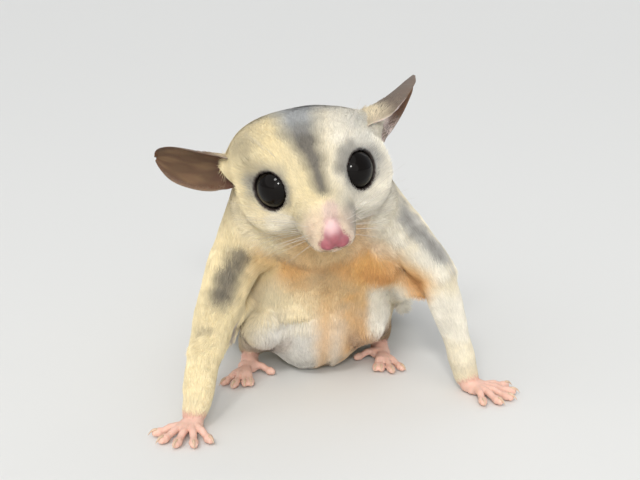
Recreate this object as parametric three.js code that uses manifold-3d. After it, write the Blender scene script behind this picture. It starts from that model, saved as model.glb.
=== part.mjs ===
// A life-size sugar glider that sits on its haunches and leans on both hands, with its head turned.
// Millimetres, +Z up. The animal faces -Y and its left side is +X. The origin is on the floor, in the
// middle of the flat on which its rump rests. The forms are laid out from a point under the belly, SEAT
// ahead of it.
// Head, trunk and limbs are one smooth form, parted by thin cuts at the joints.
import * as THREE from "three";
import { mergeVertices } from "three/addons/utils/BufferGeometryUtils.js";
import { triTable } from "three/addons/objects/MarchingCubes.js";
import Module from "manifold-3d";

const wasm = await Module();
wasm.setup();

// Driving dimensions
const SEAT = 13; // from the point under the belly back to the middle of the rump's flat
const GAP = 0.3; // between parts that touch
const WIDE_GAP = 3 * GAP; // between the membranes and the body
const LIMB_REACH = 1.2; // how far out of its bones a limb takes the body's flesh with it
// The size of the facets
const FACET = { trunk: 5.2, leg: 3.8, arm: 3.2, membrane: 2.8, ear: 2.6, space: 4.4, thinSpace: 3.2 };
const SIDES = { left: 1, right: -1 };
const HEAD_AT = [0, -52, 54]; // midway between the eyes
const HEAD_TURN = { yaw: 8, pitch: 14, roll: -13 }; // degrees: towards its left, nose down, right side down
const EYE_RADIUS = 5.4;
const EYE_AT = { x: 9.3, y: 2.4, z: -0.5 }; // the ball's centre, in the head's frame
const EYE_AXIS = { out: 42, up: 10 }; // degrees away from straight ahead
const LID_AHEAD = 2.7; // from the ball's centre to the plane of the lids
const LID_RADIUS = 5.2;
const LID_THICK = 0.8;
const EAR = { long: 24, wide: 12.5, cup: 4.2, thick: 0.9 };
// Where each ear stands and points, how far it is rolled up towards its tip, from 0 to 1, and how far it
// bows to one side
const EARS = {
  left: {
    root: [16, 13, 5], along: [0.65, 0.74, 0.08], facing: [0.3, -0.02, -0.95],
    rolled: 0.8, bow: -1.4,
  },
  right: {
    root: [-17.5, 12.5, 2.5], along: [-0.86, 0.51, 0.08], facing: [-0.51, -0.85, -0.06],
    rolled: 0, bow: 1.2,
  },
};

const vector = (p) => new THREE.Vector3(...p);
const radians = THREE.MathUtils.degToRad;
const mixed = THREE.MathUtils.lerp;

// Solid forms as distance functions of x, y and z

function ellipsoid([cx, cy, cz], [rx, ry, rz]) {
  return (x, y, z) => {
    const px = x - cx;
    const py = y - cy;
    const pz = z - cz;
    const near = Math.hypot(px / rx, py / ry, pz / rz);
    const steep = Math.hypot(px / rx ** 2, py / ry ** 2, pz / rz ** 2);
    return steep < 1e-9 ? -Math.min(rx, ry, rz) : (near * (near - 1)) / steep;
  };
}

// A chain of tapered round bones through points [x, y, z, radius]
function chain(points) {
  const bones = points.slice(1).map((end, i) => {
    const [ax, ay, az, ar] = points[i];
    const [bx, by, bz, br] = end;
    const [dx, dy, dz] = [bx - ax, by - ay, bz - az];
    return { ax, ay, az, ar, dx, dy, dz, grow: br - ar, long: dx * dx + dy * dy + dz * dz };
  });
  return (x, y, z) => {
    let best = Infinity;
    for (const b of bones) {
      const [px, py, pz] = [x - b.ax, y - b.ay, z - b.az];
      const along = Math.min(1, Math.max(0, (px * b.dx + py * b.dy + pz * b.dz) / b.long));
      const away = Math.hypot(px - b.dx * along, py - b.dy * along, pz - b.dz * along);
      best = Math.min(best, away - b.ar - b.grow * along);
    }
    return best;
  };
}

function smoothMin(a, b, k) {
  const near = Math.max(k - Math.abs(a - b), 0);
  return Math.min(a, b) - (near * near) / (4 * k);
}

const blend = (k, ...forms) => (x, y, z) =>
  forms.map((form) => form(x, y, z)).reduce((a, b) => smoothMin(a, b, k));

const carve = (k, base, tool) => (x, y, z) => -smoothMin(-base(x, y, z), tool(x, y, z), k);

// Joins a limb to the trunk with a fillet that fades away from the joint at [x, y, z]
function graft(base, limb, k, [jx, jy, jz], reach) {
  return (x, y, z) => {
    const a = base(x, y, z);
    const b = limb(x, y, z);
    const fade = 1 - Math.hypot(x - jx, y - jy, z - jz) / reach;
    return fade > 0.02 ? smoothMin(a, b, k * Math.min(1, 2 * fade)) : Math.min(a, b);
  };
}

// Surfaces

// Places along one axis, with a step that may change with the place
function places(from, to, step) {
  const found = [from];
  while (found.at(-1) < to) found.push(found.at(-1) + step(found.at(-1)));
  return found;
}

const CORNERS = [
  [0, 0, 0], [1, 0, 0], [1, 1, 0], [0, 1, 0],
  [0, 0, 1], [1, 0, 1], [1, 1, 1], [0, 1, 1],
];
const EDGES = [
  [0, 1], [1, 2], [2, 3], [3, 0], [4, 5], [5, 6],
  [6, 7], [7, 4], [0, 4], [1, 5], [2, 6], [3, 7],
];

// The closed surface where form is zero inside the box, by marching cubes, then evened out.
// step is one number, or a function of the place for each axis.
function surface(form, low, high, step, relaxing = 3) {
  const steps = Array.isArray(step) ? step : [step, step, step].map((s) => () => s);
  const grid = [0, 1, 2].map((i) => places(low[i], high[i], steps[i]));
  const [nx, ny, nz] = grid.map((g) => g.length);
  const closed = (x, y, z) => {
    const outside = Math.max(
      grid[0][1] - x, x - grid[0][nx - 2],
      grid[1][1] - y, y - grid[1][ny - 2],
      grid[2][1] - z, z - grid[2][nz - 2],
    );
    return Math.max(form(x, y, z), outside);
  };
  const least = 0.05 * steps[0](0);
  const values = new Float64Array(nx * ny * nz);
  const at = (i, j, k) => i + nx * (j + ny * k);
  for (let k = 0; k < nz; k++)
    for (let j = 0; j < ny; j++)
      for (let i = 0; i < nx; i++) {
        const v = closed(grid[0][i], grid[1][j], grid[2][k]);
        values[at(i, j, k)] = Math.abs(v) < least ? Math.sign(v || 1) * least : v;
      }
  const points = [];
  const faces = [];
  const known = new Map();
  const crossing = (a, b) => {
    const [ia, ib] = [at(...a), at(...b)];
    const key = Math.min(ia, ib) * values.length + Math.max(ia, ib);
    if (!known.has(key)) {
      const share = values[ia] / (values[ia] - values[ib]);
      known.set(key, points.length);
      points.push([0, 1, 2].map((n) => mixed(grid[n][a[n]], grid[n][b[n]], share)));
    }
    return known.get(key);
  };
  for (let k = 0; k < nz - 1; k++)
    for (let j = 0; j < ny - 1; j++)
      for (let i = 0; i < nx - 1; i++) {
        const corners = CORNERS.map(([x, y, z]) => [i + x, j + y, k + z]);
        let kind = 0;
        corners.forEach((c, n) => (kind |= values[at(...c)] < 0 ? 1 << n : 0));
        for (let n = 16 * kind; triTable[n] !== -1; n += 3) {
          const face = [0, 1, 2].map((m) => {
            const [a, b] = EDGES[triTable[n + m]];
            return crossing(corners[a], corners[b]);
          });
          faces.push(face);
        }
      }
  for (let n = 0; n < relaxing; n++) relax(points, faces, closed);
  return geometryOf(points, faces);
}

// Moves each point towards the middle of its neighbours and back onto the surface
function relax(points, faces, form) {
  const sums = points.map(() => [0, 0, 0, 0]);
  for (const face of faces)
    face.forEach((a, n) => {
      const b = face[(n + 1) % 3];
      for (let m = 0; m < 3; m++) sums[a][m] += points[b][m];
      sums[a][3] += 1;
    });
  const probe = 0.02;
  points.forEach((p, i) => {
    for (let m = 0; m < 3; m++) p[m] = mixed(p[m], sums[i][m] / sums[i][3], 0.5);
    for (let turn = 0; turn < 2; turn++) {
      const [x, y, z] = p;
      const slope = [
        form(x + probe, y, z) - form(x - probe, y, z),
        form(x, y + probe, z) - form(x, y - probe, z),
        form(x, y, z + probe) - form(x, y, z - probe),
      ].map((d) => d / (2 * probe));
      const steep = Math.max(0.25, slope[0] ** 2 + slope[1] ** 2 + slope[2] ** 2);
      const off = form(x, y, z) / steep;
      for (let m = 0; m < 3; m++) p[m] -= off * slope[m];
    }
  });
}

function geometryOf(points, faces) {
  return new THREE.BufferGeometry()
    .setAttribute("position", new THREE.Float32BufferAttribute(points.flat(), 3))
    .setIndex(faces.flat());
}

// Solids

// A closed geometry as a solid, whichever way its faces are listed
function solidOf(geometry) {
  const bare = geometry.clone();
  bare.deleteAttribute("normal");
  bare.deleteAttribute("uv");
  const merged = mergeVertices(bare, 1e-4);
  const triVerts = new Uint32Array(merged.index.array);
  const vertProperties = merged.attributes.position.array;
  let solid = new wasm.Manifold(new wasm.Mesh({ numProp: 3, vertProperties, triVerts }));
  if (solid.volume() < 0) {
    triVerts.reverse();
    solid = new wasm.Manifold(new wasm.Mesh({ numProp: 3, vertProperties, triVerts }));
  }
  return solid;
}

const largest = (solid) => solid.decompose().reduce((a, b) => (a.volume() > b.volume() ? a : b));

// The side of a plane that its normal points to, with half the gap left off
function beyond(solid, at, normal, gap = GAP) {
  const n = vector(normal).normalize();
  return solid.trimByPlane(n.toArray(), n.dot(vector(at)) + gap / 2);
}

const before = (solid, at, normal, gap = GAP) => beyond(solid, at, vector(normal).negate().toArray(), gap);

// An ellipsoid as a solid, with its x axis turned along a direction
function ball(at, radii, along = [1, 0, 0], rings = 12) {
  const shape = new THREE.SphereGeometry(1, 2 * rings, rings).scale(...radii);
  const turn = new THREE.Quaternion().setFromUnitVectors(vector([1, 0, 0]), vector(along).normalize());
  return solidOf(shape.applyQuaternion(turn).translate(...at));
}

// A closed tube through stations {at, across, up, wide, high}. A last station with wide 0 is a point.
function loft(stations, sides) {
  const points = [];
  const faces = [];
  const pointed = stations.at(-1).wide === 0;
  const rounds = pointed ? stations.slice(0, -1) : stations;
  for (const s of rounds)
    for (let n = 0; n < sides; n++) {
      const turn = (2 * Math.PI * n) / sides;
      const p = vector(s.at)
        .addScaledVector(s.across, s.wide * Math.cos(turn))
        .addScaledVector(s.up, s.high * Math.sin(turn));
      points.push(p.toArray());
    }
  for (let m = 0; m < rounds.length - 1; m++)
    for (let n = 0; n < sides; n++) {
      const [a, b] = [m * sides + n, m * sides + ((n + 1) % sides)];
      faces.push([a, b, b + sides], [a, b + sides, a + sides]);
    }
  const start = points.push(stations[0].at) - 1;
  const end = points.push(stations.at(-1).at) - 1;
  const last = (rounds.length - 1) * sides;
  for (let n = 0; n < sides; n++) {
    const next = (n + 1) % sides;
    faces.push([next, n, start], [last + n, last + next, end]);
  }
  return solidOf(geometryOf(points, faces));
}

// Stations along a smooth curve through [x, y, z, wide, high], level across unless a normal is given
function stations(points, count, normal = [0, 0, 1]) {
  const curve = new THREE.CatmullRomCurve3(points.map((p) => vector(p.slice(0, 3))));
  const sizeAt = (t, n) => {
    const place = t * (points.length - 1);
    const from = Math.min(Math.floor(place), points.length - 2);
    return mixed(points[from][n], points[from + 1][n], place - from);
  };
  return Array.from({ length: count }, (_, i) => {
    const t = i / (count - 1);
    const along = curve.getTangent(t);
    const across = along.clone().cross(vector(normal)).normalize();
    const up = across.clone().cross(along).normalize();
    return { at: curve.getPoint(t).toArray(), across, up, wide: sizeAt(t, 3), high: sizeAt(t, 4) };
  });
}

// The head's frame: x to its left, y to the back of the head, z up, from midway between the eyes
const headMatrix = new THREE.Matrix4()
  .makeRotationZ(radians(HEAD_TURN.yaw))
  .multiply(new THREE.Matrix4().makeRotationX(radians(HEAD_TURN.pitch)))
  .multiply(new THREE.Matrix4().makeRotationY(radians(HEAD_TURN.roll)))
  .setPosition(...HEAD_AT);
const toHead = headMatrix.clone().invert().elements;
const onHead = (p) => vector(p).applyMatrix4(headMatrix).toArray();
const headDirection = (p) => vector(p).transformDirection(headMatrix);

const inHeadFrame = (form) => (x, y, z) => {
  const e = toHead;
  return form(
    e[0] * x + e[4] * y + e[8] * z + e[12],
    e[1] * x + e[5] * y + e[9] * z + e[13],
    e[2] * x + e[6] * y + e[10] * z + e[14],
  );
};

const eyeAt = (side) => [side * EYE_AT.x, EYE_AT.y, EYE_AT.z];

function eyeAxis(side) {
  const [out, up] = [radians(EYE_AXIS.out), radians(EYE_AXIS.up)];
  return vector([side * Math.sin(out) * Math.cos(up), -Math.cos(out) * Math.cos(up), Math.sin(up)]);
}

const aheadOfEye = (side, far) => vector(eyeAt(side)).addScaledVector(eyeAxis(side), far).toArray();

// The head with cheeks, muzzle, nose pad, lips and chin, hollowed round the eyes, in its own frame
function headForm() {
  const skull = blend(
    6,
    ellipsoid([0, 11, 0.4], [17.4, 17, 12.4]),
    ellipsoid([-9.5, 5, -4.5], [8.8, 11, 8.8]),
    ellipsoid([9.5, 5, -4.5], [8.8, 11, 8.8]),
    chain([[0, 3, -3.5, 9.2], [0, -7, -5.2, 6], [0, -12.2, -6, 3.9]]),
    ellipsoid([-9.5, 11, 5.7], [9, 9, 6]), // the fur before the right ear, which stands higher
  );
  const lips = blend(
    1.6,
    ellipsoid([2.4, -10.4, -8.6], [2.6, 4, 2.3]),
    ellipsoid([-2.4, -10.4, -8.6], [2.6, 4, 2.3]),
    ellipsoid([0, -6.6, -10.8], [4.4, 6.6, 2.6]),
  );
  const nose = blend(
    0.9,
    ellipsoid([0, -15, -5.9], [2.5, 2.1, 2.3]),
    ellipsoid([2.1, -14.4, -7.5], [1.6, 1.7, 1.4]),
    ellipsoid([-2.1, -14.4, -7.5], [1.6, 1.7, 1.4]),
  );
  let form = blend(1.6, blend(2.5, skull, lips), nose);
  for (const ear of Object.values(EARS)) {
    const [x, y, z] = ear.root;
    form = blend(4, form, chain([[0.7 * x, y, z - 1.5, 6], [x, y, z - 0.5, 4.3]]));
  }
  for (const side of Object.values(SIDES)) {
    form = carve(2, form, ellipsoid(aheadOfEye(side, 10.3), [9, 9, 9]));
  }
  return form;
}

// Limbs as chains of [x, y, z, radius] from the trunk outwards
const ARMS = {
  left: {
    bones: [
      [12, -29, 45, 9.5], [21, -36, 38, 7.8], [29.5, -40, 29, 6],
      [33.5, -43.5, 17, 4.3], [37, -46.5, 4.4, 2.9],
    ],
    paw: { at: [37.8, -47.2, 2.6], towards: [0.78, -0.62, 0] },
  },
  right: {
    bones: [
      [-13, -32, 43, 10.5], [-19.5, -41, 32, 8], [-24, -50, 21, 6.2],
      [-26.2, -59.5, 12, 4.6], [-27.3, -67.5, 4.4, 2.9],
    ],
    paw: { at: [-27.6, -68.6, 2.6], towards: [-0.2, -0.98, 0] },
  },
};
const LEGS = {
  left: {
    bones: [
      [10, 4, 18, 12], [12.6, -15, 15.5, 8.6], [13, -33, 13.5, 6.5],
      [16, -24, 9.6, 4.3], [17, -17.5, 5, 3.4],
    ],
    paw: { at: [17.2, -21, 2.7], towards: [0.05, -1, 0] },
  },
  right: {
    bones: [
      [-10, 2, 18, 12], [-12.6, -18, 15.5, 8.6], [-13, -38, 13.5, 6.5],
      [-16, -32, 9.6, 4.3], [-17, -27.5, 5, 3.4],
    ],
    paw: { at: [-17.2, -31, 2.7], towards: [-0.1, -0.99, 0] },
  },
};
const HAND = {
  palm: { long: 3.6, wide: 3.2, high: 2.2 },
  digits: [-58, -27, -3, 20, 47].map((turn, i) => ({ turn, long: [5.6, 7, 7.6, 7.4, 6][i], claw: true })),
};
const FOOT = {
  palm: { long: 7, wide: 3, high: 1.9 },
  digits: [
    { turn: 62, long: 5.2, claw: false, back: 4 },
    { turn: 15, long: 6.8, claw: true },
    { turn: 6, long: 7, claw: true },
    { turn: -9, long: 8.4, claw: true },
    { turn: -27, long: 7.6, claw: true },
  ],
};
const DIGIT = { root: 0.95, slim: 0.85, pad: 1.2, claw: 1.9, clawThick: 0.42 };
const RUMP = [[0, 28, 14, 10], [0, 43, 10.4, 7.4]]; // where the trunk narrows towards the tail
const TAIL = [
  [0, 30, 12, 6], [1, 53, 6.8, 5], [4.6, 76, 5.9, 4.8], [8, 99, 5.7, 4.7],
  [9, 122, 5.6, 4.6], [6.8, 145, 5.2, 4.2], [2, 168, 4.4, 3.4], [-5, 190, 2.8, 1.6],
];

const trunkForm = blend(
  9,
  ellipsoid([0, 13, 20.4], [20, 24, 20.9]),
  ellipsoid([1, -10, 25.6], [18.8, 24, 23]),
  ellipsoid([1, -25.5, 15], [16, 15.5, 15]),
  ellipsoid([12, -29, 21], [6.8, 9, 11.5]),
  ellipsoid([-11, -31, 21], [7.5, 9, 11.5]),
  ellipsoid([0.5, -6, 36], [16.5, 28, 20]),
  ellipsoid([2, -33, 37], [15, 14, 16]),
  chain([[1, -24, 45, 14.5], [0.5, -39, 51, 13.5]]),
  ellipsoid([-1, -31, 10], [9.5, 10.5, 9.4]), // the low front of the belly
  ellipsoid([17.5, -35, 30], [5, 6, 5.5]), // the left armpit
);

const FIRST_ROW = 0.07; // shares of the tail's length
const LAST_ROW = 0.97;
const TAIL_CUTS = [0.33, 0.62];
const LOCK = {
  apart: 12, // from row to row
  rows: [[-12, 52, 120, 192], [20, 88, 156, 270]], // where they stand in a row, in degrees
  long: 23,
  stand: 5.4, // of the tips above the core
  sunk: 1.4, // of the root below the core's surface
  swing: 7, // degrees
  shares: [0, 0.33, 0.7, 1],
  wide: [2, 3.4, 2.9, 0],
  high: [0.6, 0.6, 0.5, 0],
  // By how much locks differ from each other
  lengths: [0.88, 1.08],
  reaches: [0.96, 1.03],
  apartBy: 0.16, // of the space from row to row
  turnedBy: 8, // degrees
};

const placeOf = (bone) => bone.slice(0, 3);

let bodyForm = graft(trunkForm, inHeadFrame(headForm()), 7, [0, -34, 46], 26);
for (const side of Object.keys(SIDES)) {
  bodyForm = graft(bodyForm, chain(ARMS[side].bones), 8, placeOf(ARMS[side].bones[0]), 22);
  bodyForm = graft(bodyForm, chain(LEGS[side].bones), 6, placeOf(LEGS[side].bones[1]), 24);
}
bodyForm = graft(bodyForm, chain(RUMP), 8, placeOf(RUMP[0]), 24);

// Folds of the gliding membrane along each flank, from elbow to hip: its free edge, and its root on the body
const MEMBRANES = {
  left: [
    [
      [31, -41, 26, 1.9], [27.5, -38.5, 24, 2.2], [23.2, -34, 21.5, 2.4], [23.2, -24, 15.5, 2.4],
      [24.2, -12, 11.5, 2.4], [24.4, 0, 9.5, 2.4], [22.8, 11, 9, 2.2], [18, 20, 9, 1.8],
    ],
    [
      [29, -39, 29, 2.6], [21.5, -33, 25, 4], [20, -22, 20.5, 4.5],
      [20.4, -10, 17.5, 4.6], [20.2, 3, 15.5, 4.4], [17.5, 15, 13.5, 3.8],
    ],
  ],
  right: [
    [
      [-25.5, -58, 16, 1.8], [-22, -52, 15.5, 2.2], [-21, -44, 14.5, 2.4], [-21, -34, 14, 2.5],
      [-23.4, -22, 12, 2.4], [-24.6, -10, 10.4, 2.4], [-24.2, 2, 9.2, 2.3], [-20, 16, 9, 1.9],
    ],
    [
      [-25, -53, 20, 2.6], [-20, -45, 20, 3.6], [-19, -34, 20, 4.2],
      [-20.2, -20, 18, 4.6], [-20.6, -4, 15.8, 4.5], [-17.5, 13, 13.6, 3.8],
    ],
  ],
};

// Where the body is parted
const NECK_FRONT = { at: [0, -36, 46], normal: [0, -0.6, 0.8] };
const NECK_BACK = { at: [0, -31, 38], normal: [0, -0.5, 0.87] };
const TAIL_ROOT = { at: [0, 40, 10], normal: [0, 1, -0.2] };
const FLOOR = { at: [0, 0, 0], normal: [0, 0, 1] };

const aboveFloor = (solid) => beyond(solid, FLOOR.at, FLOOR.normal, 0);

// The box round some balls [x, y, z, radius], with a margin
function boxRound(balls, margin) {
  const low = [0, 1, 2].map((n) => Math.min(...balls.map((b) => b[n] - b[3])) - margin);
  const high = [0, 1, 2].map((n) => Math.max(...balls.map((b) => b[n] + b[3])) + margin);
  return [low, high];
}

// The space round a stretch of a limb, wider than the limb by more
function spaceRound(bones, more, facet = FACET.thinSpace) {
  const wide = bones.map(([x, y, z, r]) => [x, y, z, r + more]);
  return solidOf(surface(chain(wide), ...boxRound(wide, facet), facet, 2));
}

// The plane across a chain of bones at one of its bends
function bend(bones, i) {
  const [before, here, after] = [bones[i - 1], bones[i], bones[i + 1]].map((b) => vector(placeOf(b)));
  const normal = here.clone().sub(before).normalize().add(after.sub(here).normalize());
  return { at: here.toArray(), normal: normal.normalize().toArray() };
}

// The plane across the last stretch of a chain of bones, at a share of its length
function nearEnd(bones, share) {
  const [from, to] = bones.slice(-2).map((b) => vector(placeOf(b)));
  return { at: from.clone().lerp(to, share).toArray(), normal: to.clone().sub(from).toArray() };
}

// A paw from its palm or sole, its digits and their claws
function paw({ at, towards }, { palm, digits }, side) {
  const ahead = vector(towards).normalize();
  const acrossPaw = new THREE.Vector3(-ahead.y, ahead.x, 0);
  const place = (long, wide, z) =>
    [at[0] + ahead.x * long + acrossPaw.x * wide, at[1] + ahead.y * long + acrossPaw.y * wide, z];
  let solid = ball(place(0.55 * palm.long, 0, at[2] - 0.3), [palm.long, palm.wide, palm.high], towards, 5);
  for (const { turn, long, claw, back = 0 } of digits) {
    const way = radians(-side * turn);
    const [forth, aside] = [Math.cos(way), Math.sin(way)];
    const from = 0.95 * palm.long - back;
    const root = 0.72 * palm.wide * Math.sin(way);
    const on = (t, z) => place(from + forth * long * t, root + aside * long * t, z);
    const { root: thick, slim, pad, claw: nail, clawThick } = DIGIT;
    const points = [
      [...on(0, at[2] - 0.5), thick, thick],
      [...on(0.45, 1.9), slim, slim],
      [...on(0.84, 1.05), pad, pad],
      [...on(1.03, 1.1), 0.6 * pad, 0.6 * pad],
    ];
    solid = solid.add(loft(stations(points, 4), 5));
    if (claw) {
      const tip = 1 + nail / long;
      const nails = [
        [...on(0.94, 1.6), clawThick, clawThick],
        [...on(mixed(0.94, tip, 0.6), 1.7), 0.8 * clawThick, 0.8 * clawThick],
        [...on(tip, 0.5), 0, 0],
      ];
      solid = solid.add(loft(stations(nails, 3), 3));
    }
  }
  return solid;
}

// The parts of a limb: upper, lower and paw, and the space that they take from the trunk
function limb(bones, pawPlace, pawSizes, side, facet) {
  const whole = solidOf(surface(bodyForm, ...boxRound(bones, facet + 1), facet));
  const joint = bend(bones, 2);
  const end = nearEnd(bones, 0.62);
  const [near, far] = [bones.slice(0, 3), bones.slice(2)];
  near[0] = [...placeOf(near[0]), 0.72 * near[0][3]];
  const taken = [
    before(spaceRound(near, LIMB_REACH + GAP, FACET.space), joint.at, joint.normal, -GAP),
    beyond(spaceRound(far, LIMB_REACH + GAP), joint.at, joint.normal, -GAP),
  ];
  const nearSpace = spaceRound(near, LIMB_REACH - GAP / 2, FACET.space);
  const farSpace = spaceRound(far, LIMB_REACH - GAP / 2);
  const upper = before(whole.intersect(nearSpace), joint.at, joint.normal);
  const rest = beyond(whole.intersect(farSpace), joint.at, joint.normal);
  const lower = before(rest, end.at, end.normal);
  const above = before(spaceRound(bones.slice(3), LIMB_REACH + GAP), end.at, end.normal, -GAP);
  const tip = beyond(rest, end.at, end.normal).add(paw(pawPlace, pawSizes, side).subtract(above));
  return { upper, lower, tip, taken };
}

// The body parted

const wholeBody = solidOf(surface(bodyForm, [-45, -60, -5], [48, 62, 72], FACET.trunk));
const headSteps = [() => 2.4, (y) => (y < -56 ? 1.7 : 2.7), () => 2.4];
const wholeHead = solidOf(surface(bodyForm, [-26, -74, 30], [26, -16, 76], headSteps));

const solids = {};
const colours = {};
let trunk = before(wholeBody, NECK_BACK.at, NECK_BACK.normal);
trunk = before(trunk, TAIL_ROOT.at, TAIL_ROOT.normal);
let neck = before(beyond(wholeBody, NECK_BACK.at, NECK_BACK.normal), NECK_FRONT.at, NECK_FRONT.normal);
let head = beyond(wholeHead, NECK_FRONT.at, NECK_FRONT.normal);
for (const [name, side] of Object.entries(SIDES)) {
  const arm = limb(ARMS[name].bones, ARMS[name].paw, HAND, side, FACET.arm);
  const leg = limb(LEGS[name].bones, LEGS[name].paw, FOOT, side, FACET.leg);
  solids[`upper_arm_${name}`] = arm.upper;
  solids[`forearm_${name}`] = arm.lower;
  solids[`hand_${name}`] = arm.tip;
  solids[`thigh_${name}`] = leg.upper;
  solids[`shank_${name}`] = leg.lower;
  solids[`foot_${name}`] = leg.tip;
  for (const space of [...arm.taken, ...leg.taken]) {
    trunk = trunk.subtract(space);
    neck = neck.subtract(space);
    head = head.subtract(space);
  }
}

// The eyes in their sockets, with a lid's rim round each
for (const [name, side] of Object.entries(SIDES)) {
  const rim = new THREE.TorusGeometry(LID_RADIUS, LID_THICK, 5, 18);
  rim.applyQuaternion(new THREE.Quaternion().setFromUnitVectors(vector([0, 0, 1]), eyeAxis(side)));
  rim.translate(...aheadOfEye(side, LID_AHEAD)).applyMatrix4(headMatrix);
  const at = onHead(eyeAt(side));
  const socket = EYE_RADIUS + GAP;
  head = head.add(solidOf(rim)).subtract(ball(at, [socket, socket, socket], [1, 0, 0], 9));
  solids[`eye_${name}`] = ball(at, [EYE_RADIUS, EYE_RADIUS, EYE_RADIUS], [1, 0, 0], 8);
  colours[`eye_${name}`] = { color: "#120b08", roughness: 0.05 };
}

// Nostrils and the line of the mouth
for (const side of Object.values(SIDES)) {
  const slant = headDirection([side, -0.6, -0.1]).toArray();
  const nostril = ball(onHead([1.75 * side, -16.2, -7]), [1.1, 0.5, 0.45], slant, 6);
  const lip = [[0, -14, -9.6], [3, -11.6, -10.2], [5.2, -7.5, -9.6], [6.8, -3.5, -8.2]];
  const mouth = lip.map(([x, y, z]) => [...onHead([side * x, y, z]), 0.45, 0.45]);
  head = head.subtract(nostril).subtract(loft(stations(mouth, 7, [1, 0, 0.3]), 5));
}

// An ear: a cupped leaf that stands on the head, inner side towards facing
function ear(side, { root, along, facing, rolled, bow }) {
  const [rows, columns] = [9, 7];
  const onward = vector(along).normalize();
  const inward = vector(facing).addScaledVector(onward, -onward.dot(vector(facing))).normalize();
  const across = onward.clone().cross(inward).multiplyScalar(side);
  const points = [];
  for (const back of [0, 1])
    for (let i = 0; i < rows; i++)
      for (let j = 0; j < columns; j++) {
        const u = i / (rows - 1);
        const v = (2 * j) / (columns - 1) - 1;
        const flat = 0.5 * EAR.wide * (0.55 + 0.9 * u - 0.2 * u * u) * Math.sqrt(1.02 - u ** 3.2);
        const wide = flat * (1 - rolled * u);
        const deep = EAR.cup * (1.15 - 0.95 * u * (1 - rolled)) * (v * v - 0.4) - back * EAR.thick;
        const p = vector(root)
          .addScaledVector(onward, EAR.long * (u - 0.08))
          .addScaledVector(across, wide * v + bow * Math.sin(Math.PI * u))
          .addScaledVector(inward, deep);
        points.push(onHead(p.toArray()));
      }
  const faces = [];
  const half = rows * columns;
  const at = (i, j) => i * columns + j;
  for (let i = 0; i < rows - 1; i++)
    for (let j = 0; j < columns - 1; j++) {
      const [a, b, c, d] = [at(i, j), at(i + 1, j), at(i + 1, j + 1), at(i, j + 1)];
      faces.push([a, b, c], [a, c, d], [a + half, c + half, b + half], [a + half, d + half, c + half]);
    }
  const edge = [];
  for (let i = 0; i < rows - 1; i++) edge.push(at(i, 0));
  for (let j = 0; j < columns - 1; j++) edge.push(at(rows - 1, j));
  for (let i = rows - 1; i > 0; i--) edge.push(at(i, columns - 1));
  for (let j = columns - 1; j > 0; j--) edge.push(at(0, j));
  edge.forEach((a, n) => {
    const b = edge[(n + 1) % edge.length];
    faces.push([b, a, a + half], [b, a + half, b + half]);
  });
  return solidOf(geometryOf(points, faces));
}

for (const [name, side] of Object.entries(SIDES)) {
  const at = onHead(EARS[name].root);
  const [low, high] = boxRound([[...at, 12]], 0);
  const skin = solidOf(surface((x, y, z) => bodyForm(x, y, z) - GAP, low, high, FACET.ear));
  solids[`ear_${name}`] = ear(side, EARS[name]).subtract(skin);
  colours[`ear_${name}`] = { color: "#8a5a44" };
}

// The folds of the membrane, where they stand clear of the body
for (const name of Object.keys(SIDES)) {
  const folds = blend(4, ...MEMBRANES[name].map(chain));
  const form = carve(1.6, folds, (x, y, z) => bodyForm(x, y, z) - WIDE_GAP);
  solids[`membrane_${name}`] = solidOf(surface(form, ...boxRound(MEMBRANES[name].flat(), 3), FACET.membrane));
}

// The tail: a core with rows of flat locks that lie back along it, in four lengths

const tailCurve = new THREE.CatmullRomCurve3(TAIL.map((p) => vector(placeOf(p))));
const tailLong = tailCurve.getLength();

// The core's radius and the coat's, at a share of the tail's length
function tailSizes(t) {
  const place = Math.min(0.9999, t) * (TAIL.length - 1);
  const from = Math.floor(place);
  const core = mixed(TAIL[from][3], TAIL[from + 1][3], place - from);
  return { core, coat: core + LOCK.stand * Math.min(1, 0.75 + 2 * t, 0.55 + 2.5 * (1 - t)) };
}

// How far out of its root a lock has risen, at a share of its length
const risen = (share) => 1 - (1 - share) ** 1.7;
const shareAt = (height) => 1 - (1 - Math.min(1, height)) ** (1 / 1.7);

// A frame on the tail: its place, the way along it and two directions across it
function tailFrame(t) {
  const onward = tailCurve.getTangentAt(Math.min(1, t));
  const at = tailCurve.getPointAt(Math.min(1, t)).addScaledVector(onward, Math.max(0, t - 1) * tailLong);
  const aside = onward.clone().cross(new THREE.Vector3(0, 0, 1)).normalize();
  return { at, onward, aside, above: aside.clone().cross(onward) };
}

// Numbers from 0 to 1, the same on each run
function seeded(seed) {
  let state = seed;
  return () => {
    state = (state * 1664525 + 1013904223) % 4294967296;
    return state / 4294967296;
  };
}

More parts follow.
